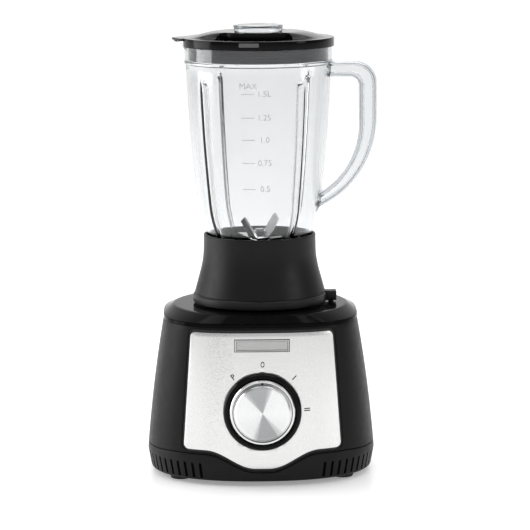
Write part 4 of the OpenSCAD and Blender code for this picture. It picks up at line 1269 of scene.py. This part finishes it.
def pocket_outline(grow):
    """Plan of a finger pocket: between the hub and an outer arc, with round ends."""
    half = POCKET_HALF + grow
    sharp = 3.4
    points = []
    for k in range(72):
        t = 2 * pi * k / 72
        u = copysign(abs(cos(t)) ** (2 / sharp), cos(t))
        v = copysign(abs(sin(t)) ** (2 / sharp), sin(t))
        x = half * u
        near = sqrt(max(0.0, (HUB_R - grow) ** 2 - x * x))
        near = max(near, 24 - grow)
        far = sqrt((POCKET_R + grow) ** 2 - x * x)
        points.append((x, -(near + far) / 2 - (far - near) / 2 * v))
    return points


def pocket_block(name, grow, z0, z1, side):
    """Straight solid on the pocket's plan, in front (side 1) or behind (side -1)."""
    turned = lambda u, v, w: WITH_JUG @ Vector((u * side, v * side, w))
    return prism(name, pocket_outline(grow), turned, z0, z1)


BAR_HALF = 30
BAR_EDGE = 3


def lid_rise(x, y):
    """Height of the lid's top over its rim: a round hub on a bar that slopes down to both sides."""
    r = hypot(x, y)
    slope = ease((LID_R - 3 - r) / (LID_R - 3 - HUB_R)) ** 0.8
    bar = ease((BAR_HALF + BAR_EDGE - abs(y)) / (2 * BAR_EDGE))
    hub = ease((HUB_R + 3 - r) / 3)
    return (HUB_Z - RIM_TOP) * max(slope * bar, hub)


def raise_top(bm):
    """Lifts the flat top of the lid's shell to its bar and hub."""
    for v in bm.verts:
        r = v.co.xy.length / MM
        if v.co.z / MM > RIM_TOP - 0.05 and CAP_R + 1.5 < r < LID_R - 2.5:
            v.co.z += lid_rise(v.co.x / MM, v.co.y / MM) * MM


def make_lid():
    bore = CAP_R + 0.4
    floor_z = HUB_Z - POCKET_D
    top = [(r, RIM_TOP, 0) for r in spread(LID_R - 2.6, HUB_R + 4, 16) + spread(HUB_R + 3.4, HUB_R - 1, 7)]
    profile = [
        (LID_R - LID_WALL, LID_Z), (LID_R, LID_Z, 0.5), (LID_R, RIM_TOP, 0.9),
    ] + top + [
        (bore, HUB_Z, 0.7), (bore, LID_Z - 2, 0.5), (bore + LID_WALL, LID_Z - 2, 0.5),
        (bore + LID_WALL, RIM_TOP - LID_WALL, 0.5), (PLUG_R - LID_WALL, RIM_TOP - LID_WALL, 0.5),
        (PLUG_R - LID_WALL, PLUG_Z, 0.4), (PLUG_R, PLUG_Z, 0.4), (PLUG_R, RIM_TOP - 2.8, 0.3),
        (LID_R - LID_WALL, RIM_TOP - 2.8, 0.3),
    ]
    obj = revolve("lid_shell", profile, 200)
    smooth(edit(obj, raise_top))
    obj.data.transform(WITH_JUG)
    for side in (1, -1):
        fuse(obj, pocket_block("walls", 2, floor_z - 2, RIM_TOP - 1.2, side))
        cut(obj, pocket_block("pocket", 0, floor_z, HUB_Z + 5, side))
    fuse(obj, make_beak())
    notch_lo = (-LID_R - 20, -SPOUT_HALF - 1, LID_Z - 3)
    notch_hi = (-PLUG_R - 1, SPOUT_HALF + 1, JUG_TOP + 0.4)
    cut(obj, block("notch", notch_lo, notch_hi, 0.3, WITH_JUG))
    return obj


def make_beak():
    """Flat beak of the lid over the pouring lip."""
    reach = JUG_R + SPOUT_PROUD
    outline = rounded([(-LID_R + 3, -24), (-LID_R + 3, 24), (-LID_R - 0.4, 21), (-reach - 0.8, 1.6, 1.2),
                       (-reach - 0.8, -1.6, 1.2), (-LID_R - 0.4, -21)], 2, 4)
    obj = prism("beak", outline, lambda u, v, w: WITH_JUG @ Vector((u, v, w)), JUG_TOP + 0.4, RIM_TOP - 0.5)
    return bevel(obj, 0.4, 2, 60)


def make_lid_tab():
    """Small grip on the front of the lid's rim, in a light grey that is a painted highlight on its top."""
    lo = (-9.5, -LID_R - 1.3, RIM_TOP - 5)
    return block("lid_front_tab_painted_highlight", lo, (8.5, -LID_R + 1.5, RIM_TOP - 1.6), 0.7, WITH_JUG)


def make_seal():
    top = JUG_TOP - 1.5
    profile = [(PLUG_R + 0.02, PLUG_Z, 0.2), (SEAL_R - 0.3, PLUG_Z, 0.8), (SEAL_R, PLUG_Z + 2, 0.4)]
    for z in spread(PLUG_Z + 4, top - 3, 3):
        profile += [(SEAL_R, z - 0.5, 0.2), (SEAL_R - 0.35, z, 0.2), (SEAL_R, z + 0.5, 0.2)]
    profile += [(SEAL_R, top, 0.6), (PLUG_R + 0.02, top, 0.2)]
    return revolve("lid_seal_band", profile, 160)


def make_cap():
    wall = 1.8
    seat = HUB_Z + 0.35
    flange = CAP_R + 1.7
    profile = [
        (CAP_R - wall - 0.8, CAP_LOW, 0.6), (CAP_R - 0.8, CAP_LOW, 0.6), (CAP_R, seat, 0.2),
        (CAP_R + 1, seat, 0.3), (CAP_R + 1, CAP_TOP - 2.4, 0.5), (flange, CAP_TOP - 2, 0.3),
        (flange, CAP_TOP, 0.8), (CAP_R - 2, CAP_TOP, 0), (CAP_R - 3, CAP_TOP - 0.25, 0),
        (0, CAP_TOP - 0.25), (0, CAP_TOP - wall), (CAP_R - wall, CAP_TOP - wall, 1.2),
    ]
    shifted = profile[-3:] + profile[:-3]
    return revolve("clear_cap", shifted[1:] + shifted[:1], 128, 0.4)


# ---- Interlock spring ----

WIRE_R = 0.4
SPRING_TURNS = 6
SPRING_LOW = low("interlock_spring", 2)
SPRING_HIGH = high("interlock_spring", 2)
SPRING_X = (low("interlock_spring", 0) + high("interlock_spring", 0)) / 2


def make_spring():
    """Round wire wound as a helix between the switch and the pin's flange."""
    coil = high("interlock_spring", 0) - SPRING_X - WIRE_R
    low_z = SPRING_LOW + WIRE_R
    rise_z = SPRING_HIGH - SPRING_LOW - 2 * WIRE_R
    steps = 28 * SPRING_TURNS
    rings = []
    for i in range(steps + 1):
        a = 2 * pi * SPRING_TURNS * i / steps
        z = low_z + rise_z * i / steps
        ring = []
        for k in range(10):
            b = 2 * pi * k / 10
            q = coil + WIRE_R * cos(b)
            ring.append((SPRING_X + q * cos(a), q * sin(a), z + WIRE_R * sin(b)))
        rings.append(ring)
    return tube("interlock_spring_coil", rings, False, angle=60)


def squash_spring(spring):
    """Gives the spring its own copy of its mesh; its shape is not changed here."""
    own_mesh(spring)


# ---- Finishes of the CAD nodes that stay ----

FINISHES = {
    "screw": ("base_screws", "motor_screws", "knob_spindle"),
    "seal": ("drip_seal", "shaft_seal"),
    "core": ("stator_core", "armature_core"),
    "copper": ("field_windings", "armature_windings"),
    "cast": ("upper_bracket", "lower_bracket"),
    "bearing": ("upper_bearing", "lower_bearing", "motor_shaft", "blade_shaft"),
    "rubber": ("motor_mounts",),
    "brass": ("brush_holders",),
    "carbon": ("carbon_brushes",),
    "case": ("selector_switch", "interlock_switch"),
    "board": ("control_board",),
    "parts": ("board_parts",),
    "coupler": ("interlock_pin", "drive_coupler"),
    "commutator": ("commutator",),
    "fan": ("cooling_fan",),
    "carrier": ("blade_carrier",),
    "gasket": ("jug_gasket",),
    "bronze": ("blade_bush",),
    "blade": ("blade_washer", "lower_blade", "upper_blade", "blade_nut"),
    "zinc": ("driven_coupler",),
}


def finish_nodes(materials):
    pairs = [(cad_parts[name], finish) for finish, names in FINISHES.items() for name in names]
    for node, finish in pairs:
        node.data.materials.clear()
        node.data.materials.append(materials[finish])
        smooth(node, 30)
        add_bevel(node, 0.25, 2, 50)


# ---- Stage, light and camera ----

def make_stage():
    size = 60000
    corners = [(-size, -size, 0), (size, -size, 0), (size, size, 0), (-size, size, 0)]
    ground = add_mesh("floor", corners, [(0, 1, 2, 3)])
    material, tree, main = shader("floor")
    vary_colour(tree, main, noise(tree, 3, 2), (0.93, 0.93, 0.93), (0.96, 0.96, 0.96))
    fill(main, {"Roughness": 0.3, "Specular IOR Level": 0.2, "Emission Color": (1, 1, 1, 1)})
    fill(main, {"Emission Strength": 0.28})
    ground.data.materials.append(material)


def add_light(name, spot, size, power, aim=(0, 0, 0.2)):
    """Soft rectangular light; its place, size and aim are in metres."""
    light = bpy.data.lights.new(name, "AREA")
    light.shape = "RECTANGLE"
    light.size = size[0]
    light.size_y = size[1]
    light.energy = power
    made = add_object(name, light)
    made.location = spot
    made.rotation_mode = "QUATERNION"
    made.rotation_quaternion = (Vector(aim) - Vector(spot)).to_track_quat("-Z", "Y")


def make_lights():
    add_light("left_softbox", (-2.2, 0.25, 0.8), (1.5, 2.1), 36)
    add_light("right_softbox", (2.1, -0.9, 1.2), (0.6, 1.4), 12)
    add_light("top_softbox", (0, 0.5, 2.4), (2.2, 1.4), 24)


# Brightness of the room seen towards the sides, behind the object, behind the camera and above
ROOM_SIDE = 0.12
ROOM_BACK = 1.12
ROOM_FRONT = 0.62
ROOM_TOP = 0.75


def make_sky():
    """Pale room: bright behind and in front of the object, dark to its sides."""
    world = bpy.data.worlds.new("studio")
    world.use_nodes = True
    tree = world.node_tree
    background = tree.nodes["Background"]
    coords = add_node(tree, "TexCoord")
    way = coords.outputs["Generated"]
    weights = (ROOM_SIDE, (ROOM_BACK + ROOM_FRONT) / 2, ROOM_TOP)
    squares = calc(tree, "MULTIPLY", way, way, kind="VectorMath")
    even = calc(tree, "DOT_PRODUCT", squares.outputs[0], weights, kind="VectorMath")
    apart = add_node(tree, "SeparateXYZ")
    link(tree, coords, "Generated", apart, 0)
    size = calc(tree, "ABSOLUTE", apart.outputs["Y"])
    signed = calc(tree, "MULTIPLY", apart.outputs["Y"], size.outputs[0])
    lean = (ROOM_BACK - ROOM_FRONT) / 2
    total = calc(tree, "MULTIPLY_ADD", signed.outputs[0], lean, even.outputs["Value"])
    link(tree, total, 0, background, "Strength")
    fill(background, {"Color": (1, 1, 1, 1)})
    scene.world = world


def make_camera():
    """Long lens, a little left of the front and above the object, as the product is usually shown."""
    distance = 2.408
    height = 0.5625
    azimuth = radians(-1)
    aim = Vector((0, 0, 0.1915))
    roll = radians(-0.4)
    data = bpy.data.cameras.new("camera")
    data.lens = 178
    data.sensor_width = 36
    data.shift_x = 0.0098
    camera = add_object("camera", data)
    camera.location = (sin(azimuth) * distance, -cos(azimuth) * distance, height)
    look = (aim - camera.location).to_track_quat("-Z", "Y").to_matrix()
    camera.rotation_mode = "QUATERNION"
    camera.rotation_quaternion = (look @ Matrix.Rotation(roll, 3, "Z")).to_quaternion()
    scene.camera = camera


def build():
    m = make_materials()
    place(make_housing(), "base", "housing", m["housing"], "motor_housing")
    place(make_pan(), "base", "pan", m["pan"], "base_pan")
    place(make_deck(), "base", "deck", m["deck"], "top_deck")
    place(make_lugs(), "base", "deck", m["deck"])
    place(make_panel(), "base", "steel_panel", m["panel"], "front_panel")
    place(make_frame(), "base", "frame", m["frame"], "panel_frame")
    place(make_badge(), "base", "badge", m["badge"], "badge_plate")
    # Black sheet round the badge: a painted shadow line.
    place(make_badge_painted_shadow(), "base", "frame", m["frame"])
    place(make_bezel(), "base", "bezel", m["bezel"], "dial_bezel")
    place(make_dial_marks(), "base", "bezel", m["ink"])
    place(make_feet(), "base", "rubber", m["rubber"], "rubber_feet")
    place(make_gland(), "base", "rubber", m["gland"], "cord_gland")
    place(make_knob(), "knob", "knob_metal", m["knob_metal"], "knob_body")
    # The disc's fan of dark wedges is a painted reflection in its colour.
    place(make_disc(), "knob", "knob_spun", m["knob_spun"], "knob_disc")
    place(make_pointer(), "knob", "knob_metal", m["ink"])
    place(make_collar(), "collar", "collar", m["collar"], "jug_collar")
    place(make_index_mark(), "collar", "collar", m["collar"])
    place(make_ring(), "collar", "collar", m["ring"], "locking_ring")
    place(make_vessel(), "jug", "clear", m["clear"], "jug", "jug_handle")
    place(make_scale(), "jug", "clear", m["scale"])
    place(make_lid(), "lid", "lid", m["lid"], "lid")
    spring = make_spring()
    place(spring, "pin", "spring_steel", m["spring"], "interlock_spring")
    squash_spring(spring)
    # The tab's light grey is a painted highlight.
    place(make_lid_tab(), "lid", "lid", m["tab"])
    place(make_seal(), "lid", "seal_rubber", m["seal"], "lid_seal")
    place(make_cap(), "cap", "clear", m["clear_cap"], "measuring_cap")
    finish_nodes(m)


scene.view_settings.view_transform = "Standard"
make_camera()
make_stage()
make_lights()
make_sky()
build()
